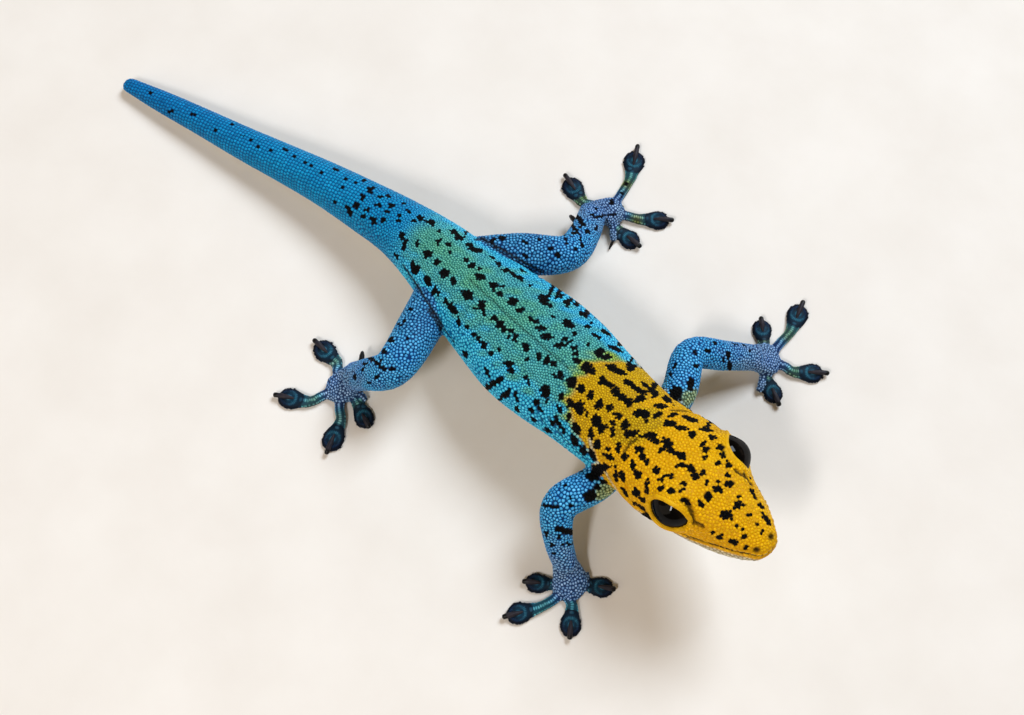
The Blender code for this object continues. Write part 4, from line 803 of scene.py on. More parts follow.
def corner_normals(places, faces):
    """Outward direction at each corner of a surface"""
    across = places[faces[:, 2]] - places[faces[:, 0]]
    other = places[faces[:, 3]] - places[faces[:, 1]]
    square = np.cross(across, other)
    total = np.zeros_like(places)
    for k in range(4):
        np.add.at(total, faces[:, k], square)
    return unit(total)


# Places on the animal

BATCH = 4000                 # points handled at a time


class Lie:
    """Which length each of many points belongs to, how far along and how far round it lies"""

    def __init__(self, points, limbs):
        owners = np.concatenate([np.full(len(limb.along), k) for k, limb in enumerate(limbs)])
        centres, sides, ups, fronts, sizes, along = (
            np.concatenate([getattr(limb, key) for limb in limbs])
            for key in ("centres", "sides", "ups", "fronts", "sizes", "along"))
        best = np.empty(len(points), int)
        for start in range(0, len(points), BATCH):
            away = points[start:start + BATCH, None, :] - centres[None, :, :]
            across = np.einsum("ijk,jk->ij", away, sides) / sizes[:, 0]
            height = np.einsum("ijk,jk->ij", away, ups) / sizes[:, 1]
            ahead = np.einsum("ijk,jk->ij", away, fronts) / sizes.mean(axis=1)
            best[start:start + BATCH] = np.argmin(across**2 + height**2 + 2.0 * ahead**2, axis=1)
        away = points - centres[best]
        self.limb = owners[best]
        self.along = along[best] + np.sum(away * fronts[best], axis=1)
        self.round = np.arctan2(np.sum(away * ups[best], axis=1) / sizes[best, 1],
                                np.sum(away * sides[best], axis=1) / sizes[best, 0])
        self.front = fronts[best]
        self.turn = np.angle(np.exp(1j * (self.round - np.pi / 2)))
        self.from_top = np.degrees(np.abs(self.turn))
        self.kind = np.array([limb.kind for limb in limbs])[self.limb]
        self.length = np.array([limb.along[-1] for limb in limbs])[self.limb]

    def spread(self, corners, roots):
        """The same for the corners of a scale about each of the points"""
        wide = copy.copy(self)
        count = corners.shape[1]
        for key in ("limb", "turn", "from_top", "kind", "length"):
            setattr(wide, key, np.repeat(getattr(self, key), count, axis=0))
        steps = corners - roots[:, None, :]
        wide.along = (self.along[:, None] + np.einsum("ijk,ik->ij", steps, self.front)).ravel()
        return wide


# The camera and the marks it shows

FORWARD = unit(CAMERA_TARGET - CAMERA_PLACE)
RIGHT = unit(np.cross(FORWARD, (0, 0, 1)))
UP = np.cross(RIGHT, FORWARD)
FOCUS = LENS / SENSOR * PICTURE[0]


def sight_line(px, py):
    """Direction from the camera through a place in the picture"""
    return unit(FORWARD + RIGHT * (px - PICTURE[0] / 2) / FOCUS - UP * (py - PICTURE[1] / 2) / FOCUS)


class Hide:
    """The finished surface of the skin, for casting marks and setting scales on it"""

    def __init__(self, places, faces):
        self.places, self.faces = places, faces
        self.normals = corner_normals(places, faces)
        self.tree = BVHTree.FromPolygons(places.tolist(), faces.tolist())

    def cast(self, px, py):
        """Point of the skin at a place in the picture and the outward direction there"""
        spot, normal, face, _ = self.tree.ray_cast(Vector(CAMERA_PLACE), Vector(sight_line(px, py)))
        if spot is None:
            spot, normal, face, _ = self.nearest_to_sight(px, py)
        return np.array(spot), unit(self.normals[self.faces[face]].mean(axis=0))

    def nearest_to_sight(self, px, py):
        """Point of the skin nearest to a line of sight that just misses it"""
        direction = sight_line(px, py)
        reach = np.linalg.norm(CAMERA_TARGET - CAMERA_PLACE) - 6.0
        for _ in range(6):
            found = self.tree.find_nearest(Vector(CAMERA_PLACE + direction * reach))
            reach = float((np.array(found[0]) - CAMERA_PLACE) @ direction)
        return found

    def snap(self, points):
        """Nearest points of the skin, with the outward directions there"""
        spots = np.empty_like(points)
        out = np.empty_like(points)
        for k, point in enumerate(points):
            spot, _, face, _ = self.tree.find_nearest(Vector(point))
            spots[k] = spot
            out[k] = self.normals[self.faces[face]].mean(axis=0)
        return spots, unit(out)

    def seen(self, point, normal):
        """Whether the camera sees a point of the skin"""
        to_camera = unit(CAMERA_PLACE - point)
        if to_camera @ normal < 0.05:
            return False
        start = Vector(point + normal * 0.25)
        return self.tree.ray_cast(start, Vector(to_camera))[0] is None


STEEPEST = -0.35             # marks are cast as if no skin lay steeper to the sight line than this
MARK_REACH = 2.0             # no mark is wider than this


def mark_at(hide, spread, px, py, half_length, half_width, turn=0):
    """Middle, outward direction and the two half axes of a mark on the skin"""
    centre, normal = hide.cast(px, py)
    angle = math.radians(turn)
    axes = []
    for length, direction in ((half_length + spread, angle), (half_width + spread, angle + math.pi / 2)):
        towards = sight_line(px + length * math.cos(direction), py + length * math.sin(direction))
        reach = ((centre - CAMERA_PLACE) @ normal) / min(towards @ normal, STEEPEST)
        axis = CAMERA_PLACE + towards * reach - centre
        axis -= normal * (axis @ normal)
        axes.append(axis)
    return centre, normal, axes[0], axes[1]


def inside_marks(points, marks, ragged):
    """Whether points lie on any of the marks; ragged is the unevenness of each point's edge"""
    hit = np.zeros(len(points), bool)
    for centre, normal, first, second in marks:
        away = points - centre
        near = np.flatnonzero(np.sum(away * away, axis=1) < MARK_REACH**2)
        if len(near) == 0:
            continue
        away = away[near]
        table = np.column_stack((first, second, normal))
        try:
            shares = away @ np.linalg.inv(table).T
        except np.linalg.LinAlgError:
            continue
        inside = (shares[:, 0] ** 2 + shares[:, 1] ** 2 < ragged[near]) & (np.abs(shares[:, 2]) < 1.0)
        hit[near[inside]] = True
    return hit


def distance_to_line(points, line, limit=1.0):
    """Shortest distance from points to a bent line, 9 for points far from it"""
    near = np.all((points > line.min(axis=0) - limit) & (points < line.max(axis=0) + limit), axis=1)
    close = points[near]
    best = np.full(len(close), 9.0)
    for start, end in zip(line, line[1:]):
        run = end - start
        share = np.clip(((close - start) @ run) / max(run @ run, 1e-9), 0.0, 1.0)
        best = np.minimum(best, np.linalg.norm(close - start - share[:, None] * run, axis=1))
    far = np.full(len(points), 9.0)
    far[near] = best
    return far


# Finer shapes of the skin

def eye_share(points, side):
    """How far out points lie in the opening of an eye, 1 at its edge, and their reach from its middle"""
    away = points - head_to_world(eye_centre(side))
    reach = np.linalg.norm(away, axis=1)
    local = away @ (HEAD_AXES @ eye_axes(side)) / np.maximum(reach, 1e-6)[:, None]
    off = np.degrees(np.arccos(np.clip(local[:, 1], -1, 1)))
    turn = np.arctan2(local[:, 2], local[:, 0])
    along = np.abs(off * np.cos(turn)) / OPENING_LENGTH
    arch = np.where(np.sin(turn) > 0, UPPER_ARCH[side], LOWER_ARCH)
    height = arch * np.maximum(1 - along**ARCH_SQUARENESS, 1e-4) ** ARCH_FALL
    return np.where(along < 1, np.maximum(along**3, np.abs(off * np.sin(turn)) / height), 9.0), reach


def open_eyes(places):
    """Sinks the skin inside the openings of the lids to below the eyeballs"""
    for side in (1, -1):
        share, reach = eye_share(places, side)
        centre = head_to_world(eye_centre(side))
        sunk = (1 - smooth_step(0.93, 1.06, share)) * (reach < LID_ZONE)
        goal = reach * (1 - sunk) + SOCKET_REACH * sunk
        places = centre + (places - centre) * (goal / np.maximum(reach, 1e-6))[:, None]
    return places


def mouth_height(x):
    """Height of the line of the mouth at x, in the head's frame"""
    columns, lift = np.array(HEAD), np.array(MOUTH_LIFT)
    return np.interp(x, columns[:, 0], columns[:, 1]) + np.interp(x, lift[:, 0], lift[:, 1])


def mouth_share(points):
    """How close points of the head lie to the line of the mouth, and their height over it"""
    local = world_to_head(points)
    above = local[:, 2] - mouth_height(local[:, 0])
    part = smooth_step(MOUTH_CORNER - 0.5, MOUTH_CORNER + 0.4, local[:, 0])
    return part, above, local


def shape_lips(places, normals):
    """Presses the line of the mouth into the skin and swells both lips"""
    part, above, _ = mouth_share(places)
    push = sum(depth * bell((above - level) / half) for level, half, depth in LIPS)
    return places + normals * (push * part)[:, None]


def head_spot(x, degrees, side):
    """Point near the skin of the head at x and at an angle above the line of the mouth"""
    mouth, width, top, under = head_row(x)
    angle = math.radians(degrees if side > 0 else 180 - degrees)
    across, height = oval(np.array([angle]), width, top - mouth, mouth - under,
                          SKULL_SQUARENESS, JAW_SQUARENESS)
    return head_to_world((x, across[0] + nape_bend(x), height[0] + mouth))


def press_folds(hide):
    """Presses folds, nostrils and ears into the skin and returns it with the lines of the folds"""
    places = hide.places.copy()
    lines = []
    for width, depth, darkness, picture_line in FOLDS:
        dense = []
        for start, end in zip(picture_line, picture_line[1:]):
            for share in np.linspace(0, 1, 6, endpoint=False):
                dense.append([a * (1 - share) + b * share for a, b in zip(start, end)])
        line = np.array([hide.cast(*spot)[0] for spot in dense + [picture_line[-1]]])
        half = width * PIXEL
        away = distance_to_line(places, line)
        push = -depth * bell(away / (half * 1.2))
        push += 0.35 * depth * bell((away - 2.6 * half) / (half * 1.3))
        places += hide.normals * push[:, None]
        lines.append((line, half, darkness))
    dents = [(head_spot(*EAR, side), *EAR_DENT) for side in (1, -1)]
    for spot in NOSTRILS:
        centre = hide.cast(*spot)[0]
        dents.append((centre, *NOSTRIL_DENT))
        lines.append((np.array([centre, centre]), *NOSTRIL_SHADE))
    for centre, radius, depth in dents:
        away = np.linalg.norm(places - centre, axis=1)
        places -= hide.normals * (depth * bell(away / radius))[:, None]
    places[:, 2] = np.maximum(places[:, 2], 0.02)
    pressed = Hide(places, hide.faces)
    return pressed, [(pressed.snap(line)[0], half, darkness) for line, half, darkness in lines]


# Colour zones and marks

def wobble(points, size, seed):
    """Soft uneven value between about -1 and 1 over the animal"""
    draw = np.random.default_rng(seed)
    total = np.zeros(len(points))
    for _ in range(5):
        direction = unit(draw.normal(size=3)) / size * draw.uniform(0.7, 1.6)
        total += np.sin(points @ direction * 2 * np.pi + draw.uniform(0, 6.28))
    return total / 2.2


class Pattern:
    """Where each colour and each mark lies"""

    def __init__(self, hide, limbs, lines):
        self.hide, self.limbs, self.lines = hide, limbs, lines
        self.marks = []
        for table, spread in MARK_SPREADS:
            self.marks += [mark_at(hide, spread, *row) for row in table]
        self.mirror_hidden()
        self.pale = [(np.array([hide.cast(*spot)[0] for spot in line]), width * PIXEL)
                     for width, line in PALE_LINES]
        self.citron = [(hide.cast(px, py)[0], radius) for px, py, radius in CITRON_SPOTS]
        self.lime = [(hide.cast(px, py)[0], radius) for px, py, radius in LIME_SPOTS]
        spots = np.array([hide.cast(px, py)[0] for px, py in YELLOW_BORDER])
        lie = Lie(spots, limbs)
        order = [k for k in np.argsort(lie.turn) if lie.limb[k] == 0]
        self.border_turn, self.border_along = lie.turn[order], lie.along[order]
        starts = np.array([hide.cast(*spot)[0] for spot in (PATCH_START, NAPE_START_SPOT)])
        self.patch_start, self.head_start = Lie(starts, limbs).along

    def mirror_hidden(self):
        """Repeats the marks of the seen flank and cheek on the side that the camera doesn't see"""
        middles = np.array([mark[0] for mark in self.marks])
        lie = Lie(middles, self.limbs)
        spine = self.limbs[0]
        for k in np.flatnonzero(lie.limb == 0):
            turn = np.pi - lie.round[k]
            centre, side, up, size = spine.frame_at(lie.along[k])
            guess = centre + side * math.cos(turn) * size[0] + up * math.sin(turn) * size[1]
            spot, normal = [found[0] for found in self.hide.snap(guess[None])]
            if self.hide.seen(spot, normal):
                continue
            axes = []
            for axis in self.marks[k][2:]:
                turned = axis - 2 * side * (axis @ side)
                axes.append(turned - normal * (turned @ normal))
            if np.linalg.norm(np.cross(*axes)) > 1e-4:
                self.marks.append((spot, normal, *axes))

    def paint(self, points, lie):
        """Shares of the colours at points of the hide

        Angles are in degrees from the top of the back, distances in millimetres or shares of a length.
        """
        spine, leg = lie.kind == "spine", lie.kind == "leg"
        palm, toe = (lie.kind == "palm") | (lie.kind == "rod"), lie.kind == "toe"
        share = lie.along / lie.length
        uneven = wobble(points, 1.6, 3)
        shares = self.paint_trunk(lie, spine, uneven)
        shares["leg"] = (leg | palm | toe).astype(float)
        hind = np.array([limb.name.startswith("hind") for limb in self.limbs])[lie.limb]
        shares["dusk"] = 0.8 * (1 - smooth_step(0.40, 0.62, share + 0.04 * uneven)) * (leg & hind)
        shares["violet"] = np.clip(smooth_step(0.62, 1.0, share + 0.05 * uneven) * leg * 0.75 + palm * 0.85
                                   + toe * (1 - smooth_step(0.1, 0.4, share)) * 0.85, 0, 1)
        for key, spots in (("citron", self.citron), ("lime", self.lime)):
            shares[key] = np.zeros(len(points))
            for spot, radius in spots:
                away = np.linalg.norm(points - spot, axis=1) / radius
                shares[key] = np.maximum(shares[key], 1 - smooth_step(0.6, 1.15, away + 0.12 * uneven))
        nape = 1 - smooth_step(-3.5, 1.0, lie.along - self.head_start + 1.2 * uneven)
        shares["citron"] = np.maximum(shares["citron"] * 0.8, 0.65 * nape) * shares["yellow"]
        shares["lime"] *= leg * 0.9
        shares.update(self.paint_toes(points, lie, share, uneven))

        under = smooth_step(104, 128, lie.from_top + 4 * uneven) * spine
        under = np.maximum(under, smooth_step(120, 150, lie.from_top) * (leg | palm))
        part, above, local = mouth_share(points)
        on_head = spine & (local[:, 0] > HEAD_BACK)
        jaw = (1 - smooth_step(-0.74, -0.50, above)) * part * on_head
        shares["pale"] = np.clip(np.maximum(under * (1 - jaw), jaw * 0.85), 0, 1)
        for line, half in self.pale:
            shares["pale"] = np.maximum(shares["pale"], 0.95 * bell(distance_to_line(points, line) / half))
        shares["pale"] *= spine | leg | palm
        # Painted shade: dark along the line of the mouth, and along the folds and in the nostrils by their
        # darkness
        groove = (1 - smooth_step(0.05, 0.14, np.abs(above))) * part * on_head
        for line, half, darkness in self.lines:
            away = distance_to_line(points, line)
            groove = np.maximum(groove, darkness * (1 - smooth_step(0.5 * half, 1.6 * half, away)))
        shares["groove"] = groove
        return shares

    def paint_trunk(self, lie, spine, uneven):
        """Zones from the tip of the tail to the head"""
        past = lie.along - (np.interp(lie.turn, self.border_turn, self.border_along) + 0.35 * uneven)
        patch = smooth_step(-1.2, 0.8, lie.along - self.patch_start) * spine
        moss = (1 - smooth_step(6, 24, lie.from_top + 6 * uneven)) * (1 - 0.7 * smooth_step(-9, -3, past))
        return {
            "yellow": smooth_step(-0.35, 0.55, past) * spine,
            "meadow": bell((past + 0.25) / 0.5) * (1 - smooth_step(35, 75, lie.from_top)) * spine,
            "back": (1 - smooth_step(30, 54, lie.from_top + 7 * uneven)) * patch,
            "moss": 0.75 * moss * patch,
            "tail": (1 - smooth_step(-2.5, 2.5, lie.along - self.patch_start)) * spine,
            "tip": (1 - smooth_step(0.5, 22, lie.along)) * spine * 0.8,
        }

    def paint_toes(self, points, lie, share, uneven):
        """Zones of the toes, from the stalk over the pad to its rim"""
        stalk, olive, pad, rim = np.zeros((4, len(points)))
        for k, limb in enumerate(self.limbs):
            if limb.kind != "toe":
                continue
            mine = lie.limb == k
            away = (points[mine] - limb.pad)[:, :2] / limb.radius
            reach = np.linalg.norm(away, axis=1)
            pad[mine] = 1 - smooth_step(0.9, 1.5, reach)
            rim[mine] = smooth_step(0.05, 0.75, reach + 0.50 * (away @ limb.heading[:2])) * (reach < 1.3)
            stalk[mine] = smooth_step(0.12, 0.35, share[mine])
            olive[mine] = 0.85 * bell((share[mine] - 0.40) / 0.13)
            olive[mine] *= (0.75 + 0.25 * uneven[mine]) * OLIVE_TOES[limb.foot]
        return {"stalk": stalk, "olive": np.clip(olive, 0, 1), "pad": pad, "rim": rim}

    def blackened(self, points):
        """Which points lie on black marks, whose edges are ragged"""
        draw = np.random.default_rng(5)
        ragged = draw.uniform(0.7, 1.25, len(points))
        return inside_marks(points, self.marks, ragged).astype(float)


# Scales

def greedy(points, pitches, first=0):
    """Which points stay when each clears its neighbourhood; those before first always stay"""
    tree = tree_of(points)
    keep = np.ones(len(points), bool)
    for k in range(len(points)):
        if not keep[k]:
            continue
        for _, other, _ in tree.find_range(points[k], pitches[k]):
            if other > k and other >= first:
                keep[other] = False
    return keep


def lattice(hide, limbs, number, rows, span, widest=180.0):
    """Rows of scale roots round a length of the animal, up to an angle from its top"""
    row_pitch, round_pitch, stagger, loose = rows
    limb = limbs[number]
    found = []
    for row, along in enumerate(np.arange(span[0], span[1], row_pitch)):
        centre, side, up, (width, height) = limb.frame_at(along)
        girth = np.pi * (3 * (width + height) - math.sqrt((3 * width + height) * (width + 3 * height)))
        count = max(5, round(girth / round_pitch))
        turns = (np.arange(count) + stagger * (row % 2) / 2) / count * 2 * np.pi
        found.append(centre + np.outer(np.cos(turns) * width, side) + np.outer(np.sin(turns) * height, up))
    found = np.concatenate(found)
    found += RANDOM.normal(scale=loose * row_pitch, size=found.shape)
    spots, _ = hide.snap(found)
    lie = Lie(spots, limbs)
    near = np.linalg.norm(spots - found, axis=1) < 0.9
    return spots[near & (lie.limb == number) & (lie.from_top < widest)]


def pad_roots(hide, limb):
    """Roots of a toe: narrow ribs that spread over the pad, and short bands across the stalk"""
    found = []
    for share, ribs, level in PAD_RINGS:
        turns = (np.arange(ribs) + 0.5) / ribs * 2 * np.pi
        across = limb.radius * share * circle(turns)
        found.append(np.column_stack((limb.pad[:2] + across, np.full(ribs, level))))
    stalk = limb.along[-1] - limb.radius * 2
    for along in np.arange(0.3, stalk, STALK_STEP):
        centre, side, up, (width, _) = limb.frame_at(along)
        for place in STALK_PLACES:
            found.append((centre + side * place * width + up * 0.3)[None])
    return hide.snap(np.concatenate(found))[0]


def lip_roots(hide):
    """Roots of the plates in a row along each lip"""
    found = []
    for above, step in LIP_ROWS:
        starts = [((x, 0.0), 90.0) for x in np.arange(-1.9, 5.3, step)]
        starts += [((5.4, 0.0), turn) for turn in np.arange(80.0, -1.0, -16.0)]
        for (x, y), turn in starts:
            for side in (1, -1):
                heading = np.array((math.cos(math.radians(turn)), side * math.sin(math.radians(turn)), 0.0))
                start = np.array((x, y, mouth_height(x + 1.6 * heading[0]) + above))
                spot = hide.tree.ray_cast(Vector(head_to_world(start)), Vector(HEAD_AXES @ heading))[0]
                found.append(np.array(spot))
    return np.array(found)


def scale_pitch(points, lie):
    """Distance between neighbouring scales at points of the hide"""
    pitch = BACK_PITCH + FLANK_GAIN * smooth_step(40, 60, lie.from_top)
    shin = smooth_step(0.45, 0.7, lie.along / lie.length)
    pitch = np.where(lie.kind == "leg", LEG_PITCH - SHIN_LOSS * shin, pitch)
    for kind, size in FOOT_PITCHES.items():
        pitch[lie.kind == kind] = size
    spine = lie.kind == "spine"
    pitch[spine & (lie.along < TAIL_END)] = TAIL_PITCH
    part, above, local = mouth_share(points)
    on_head = spine & (local[:, 0] > HEAD_BACK)
    pitch[on_head] = HEAD_PITCHES[0] - HEAD_PITCHES[1] * smooth_step(3.0, 7.0, local[on_head, 0])
    pitch[on_head & (part > 0.5) & (above > -0.46) & (above < 0.44)] = LIP_PITCH
    for side in (1, -1):
        share, reach = eye_share(points, side)
        pitch[(share < 1.5) & (reach < LID_ZONE)] = LID_PITCH
    return pitch


def random_roots(hide, count):
    """Seeded points spread evenly by area over the skin"""
    corners = hide.places[hide.faces]
    diagonals = corners[:, 2] - corners[:, 0], corners[:, 3] - corners[:, 1]
    area = 0.5 * np.linalg.norm(np.cross(*diagonals), axis=1)
    picks = RANDOM.choice(len(area), count, p=area / area.sum())
    u, v = RANDOM.random((2, count))
    a, b, c, d = (corners[picks, k] for k in range(4))
    u, v = u[:, None], v[:, None]
    return (a * (1 - u) + b * u) * (1 - v) + (d * (1 - u) + c * u) * v


def neighbours(points, normals, count):
    """Steps to the nearest roots on the same side of the surface, far ones where there are too few"""
    tree = tree_of(points)
    index = np.zeros((len(points), count), int)
    for k, point in enumerate(points):
        found = tree.find_n(point, count + 1)
        index[k] = [other for _, other, _ in found[1:]]
    steps = points[index] - points[:, None, :]
    behind = np.einsum("ijk,ik->ij", normals[index], normals) < 0.1
    steps[behind] = 9.0
    return steps


def plant_roots(hide, limbs):
    """Roots of all scales, evened out over the hide"""
    rows_meet = TAIL_END - 4
    firm = [lip_roots(hide), lattice(hide, limbs, 0, TAIL_ROWS, (0.3, rows_meet)),
            lattice(hide, limbs, 0, BACK_ROWS, (rows_meet, NECK_START), BACK_SPREAD)]
    for number, limb in enumerate(limbs):
        if limb.kind == "leg":
            firm.append(lattice(hide, limbs, number, LEG_ROWS, (1.0, limb.along[-1] * 0.5)))
        elif limb.kind == "toe":
            firm.append(pad_roots(hide, limb))
    firm = np.concatenate(firm)
    lie = Lie(firm, limbs)
    clearance = np.where(lie.kind == "toe", TOE_CLEARANCE, ROW_CLEARANCE)
    firm = firm[greedy(firm, scale_pitch(firm, lie) * clearance)]
    for _ in range(2):
        both = np.concatenate((firm, random_roots(hide, LOOSE_ROOTS)))
        pitch = scale_pitch(both, Lie(both, limbs))
        firm = both[greedy(both, pitch * LOOSE_CLEARANCE, len(firm))]
    pitch = scale_pitch(firm, Lie(firm, limbs))
    for _ in range(2):
        spots, normals = hide.snap(firm)
        steps = neighbours(spots, normals, 8)
        reach = np.linalg.norm(steps, axis=2, keepdims=True)
        push = np.maximum(PUSH_REACH * pitch[:, None, None] - reach, 0.0) * steps / reach
        push[Lie(spots, limbs).kind == "toe"] = 0.0
        firm = spots - PUSH_SHARE * push.sum(axis=1)
    return hide.snap(firm)


OUTLINE = circle(np.arange(SIDES) * 2 * np.pi / SIDES)


def scale_shapes(roots, normals, lie, cap, height, tilt, table):
    """Corners of all scales: a ring at the root, a shoulder and a crown, each fitted among its neighbours

    cap is the furthest that a scale reaches from its root, table how wide its shoulder is
    """
    ahead = lie.front - normals * np.sum(lie.front * normals, axis=1, keepdims=True)
    ahead = -unit(ahead)
    across = np.cross(normals, ahead)
    steps = neighbours(roots, normals, 12)
    flat = np.stack((np.einsum("ijk,ik->ij", steps, ahead), np.einsum("ijk,ik->ij", steps, across)), axis=2)
    facing = np.einsum("ijk,lk->ijl", flat, OUTLINE)
    halfway = np.sum(flat**2, axis=2)[:, :, None] / (2 * np.maximum(facing, 1e-6))
    halfway[facing < 1e-4] = np.inf
    reach = np.minimum(halfway.min(axis=1), cap[:, None]) * SCALE_FILL
    reach = 0.6 * reach + 0.4 * np.minimum(reach, reach.mean(axis=1, keepdims=True) * 1.05)

    def ring(share, lift, lean):
        flat_x = reach * share * OUTLINE[:, 0]
        flat_y = reach * share * OUTLINE[:, 1]
        rise = lift + lean * OUTLINE[:, 0]
        return (roots[:, None, :] + flat_x[:, :, None] * ahead[:, None, :]
                + flat_y[:, :, None] * across[:, None, :] + rise[:, :, None] * normals[:, None, :])

    level = np.zeros_like(height)[:, None]
    low = ring(1.0, level - SCALE_SINK, level)
    shoulder = ring(table[:, None], SHOULDER_LEVEL * height[:, None], (tilt * height)[:, None])
    crown = roots + normals * height[:, None] + ahead * (0.1 * reach.mean(axis=1) * tilt)[:, None]
    return np.concatenate((low, shoulder, crown[:, None, :]), axis=1)


def scale_faces(count):
    """Corner numbers of the four-sided and the three-sided faces of many scales"""
    sides = np.arange(SIDES)
    after = (sides + 1) % SIDES
    quads = np.column_stack((sides, after, after + SIDES, sides + SIDES))
    tops = np.column_stack((sides + SIDES, after + SIDES, np.full(SIDES, 2 * SIDES)))
    offset = np.arange(count)[:, None, None] * len(SCALE_EDGE)
    return (quads + offset).reshape(-1, 4), (tops + offset).reshape(-1, 3)


# How close each corner of a scale is to its edge
SCALE_EDGE = np.concatenate((np.ones(SIDES), np.full(SIDES, 0.42), np.zeros(1)))


def cell_of(limbs, number):
    """Corner and size of the part of the flat map that a length of the animal unrolls into"""
    if number == 0:
        return (0.01, 0.52), (0.98, 0.46)
    column = number - 1
    columns = len(limbs) - 1
    return (0.01 + 0.98 * column / columns, 0.03), (0.90 / columns, 0.44)


def unrolled(limbs, lie):
    """Place of each root on the skin unrolled length by length"""
    places = np.empty((len(lie.along), 2))
    for number, limb in enumerate(limbs):
        mine = lie.limb == number
        corner, size = cell_of(limbs, number)
        share = np.clip(lie.along[mine] / limb.along[-1], 0, 1)
        turn = np.mod(lie.round[mine] + np.pi / 2, 2 * np.pi) / (2 * np.pi)
        if number == 0:
            places[mine] = np.column_stack((corner[0] + share * size[0], corner[1] + turn * size[1]))
        else:
            places[mine] = np.column_stack((corner[0] + turn * size[0], corner[1] + share * size[1]))
    return places


def solid_mesh(name, places, faces, attributes, look, flat_map=None):
    """Object in metres from corners and faces, with its attributes and material"""
    mesh = bpy.data.meshes.new(name)
    mesh.from_pydata((places * MM).tolist(), [], faces)
    for key, values in attributes.items():
        layer = mesh.attributes.new(key, "FLOAT", "POINT")
        layer.data.foreach_set("value", np.asarray(values, np.float32))
    if flat_map is not None:
        layer = mesh.uv_layers.new(name="OFBake")
        corners = np.empty(len(mesh.loops), int)
        mesh.loops.foreach_get("vertex_index", corners)
        layer.data.foreach_set("uv", flat_map[corners].astype(np.float32).ravel())
    mesh.shade_smooth()
    mesh.materials.append(look)
    return put_in_scene(name, mesh)


def coat_piece(name, picked, shapes, shares, flat, look):
    """One piece of the coat from the picked scales"""
    count = int(picked.sum())
    quads, tops = scale_faces(count)
    attributes = {key: np.broadcast_to(values[picked].reshape(count, -1), (count, len(SCALE_EDGE))).ravel()
                  for key, values in shares.items()}
    attributes["edge"] = np.tile(SCALE_EDGE, count)
    spread = np.vstack((OUTLINE, 0.7 * OUTLINE, ((0.0, 0.0),)))
    flat_map = (flat[picked][:, None, :] + PATCH * spread[None]).reshape(-1, 2)
    faces = quads.tolist() + tops.tolist()
    return solid_mesh(name, shapes[picked].reshape(-1, 3), faces, attributes, look, flat_map)


# Materials

def screen(colour):
    """Colour read off a screen, 0 to 255, as linear light"""
    shares = np.array(colour, float) / 255
    linear = np.where(shares <= 0.04045, shares / 12.92, ((shares + 0.055) / 1.055) ** 2.4)
    return (*linear, 1.0)


class Board:
    """Small helper that lays out the nodes of one material"""

    def __init__(self, name):
        self.material = bpy.data.materials.new(name)
        self.material.use_nodes = True
        self.tree = self.material.node_tree
        self.shader = self.tree.nodes["Principled BSDF"]
        self.coordinates = self.tree.nodes.new("ShaderNodeTexCoord").outputs["Object"]

    def plug(self, socket, value):
        """Links a socket to another, or sets its value"""
        if isinstance(value, bpy.types.NodeSocket):
            self.tree.links.new(value, socket)
        else:
            socket.default_value = value

    def share(self, key):
        """Value of an attribute"""
        node = self.tree.nodes.new("ShaderNodeAttribute")
        node.attribute_name = key
        return node.outputs["Fac"]

    def noise(self, size, detail=2.0):
        """Uneven value between 0 and 1 with grain of a size in millimetres"""
        node = self.tree.nodes.new("ShaderNodeTexNoise")
        self.plug(node.inputs["Vector"], self.coordinates)
        node.inputs["Scale"].default_value = 1.0 / (size * MM)
        node.inputs["Detail"].default_value = detail
        return node.outputs["Fac"]

    def span(self, value, low, high, to_low=0.0, to_high=1.0):
        """Value spread from one range over another"""
        node = self.tree.nodes.new("ShaderNodeMapRange")
        self.plug(node.inputs["Value"], value)
        for key, number in (("From Min", low), ("From Max", high), ("To Min", to_low), ("To Max", to_high)):
            node.inputs[key].default_value = number
        return node.outputs["Result"]

    def maths(self, operation, first, second):
        """Sum, product and the like of two values"""
        node = self.tree.nodes.new("ShaderNodeMath")
        node.operation = operation
        self.plug(node.inputs[0], first)
        self.plug(node.inputs[1], second)
        return node.outputs[0]

    def mix(self, factor, first, second):
        """One colour laid over another by a share"""
        node = self.tree.nodes.new("ShaderNodeMix")
        node.data_type = "RGBA"
        self.plug(node.inputs[0], factor)
        for socket, colour in ((node.inputs[6], first), (node.inputs[7], second)):
            self.plug(socket, screen(colour) if isinstance(colour, tuple) else colour)
        return node.outputs[2]

    def finish(self, colour, rough, glint):
        """Colour, roughness and strength of the reflection"""
        self.plug(self.shader.inputs["Base Color"], colour)
        self.plug(self.shader.inputs["Roughness"], rough)
        self.shader.inputs["Specular IOR Level"].default_value = glint

    def bump(self, height, distance, strength=0.5):
        """Surface roughened by a height, its depth in millimetres"""
        node = self.tree.nodes.new("ShaderNodeBump")
        node.inputs["Strength"].default_value = strength
        node.inputs["Distance"].default_value = distance * MM
        self.plug(node.inputs["Height"], height)
        self.plug(self.shader.inputs["Normal"], node.outputs["Normal"])


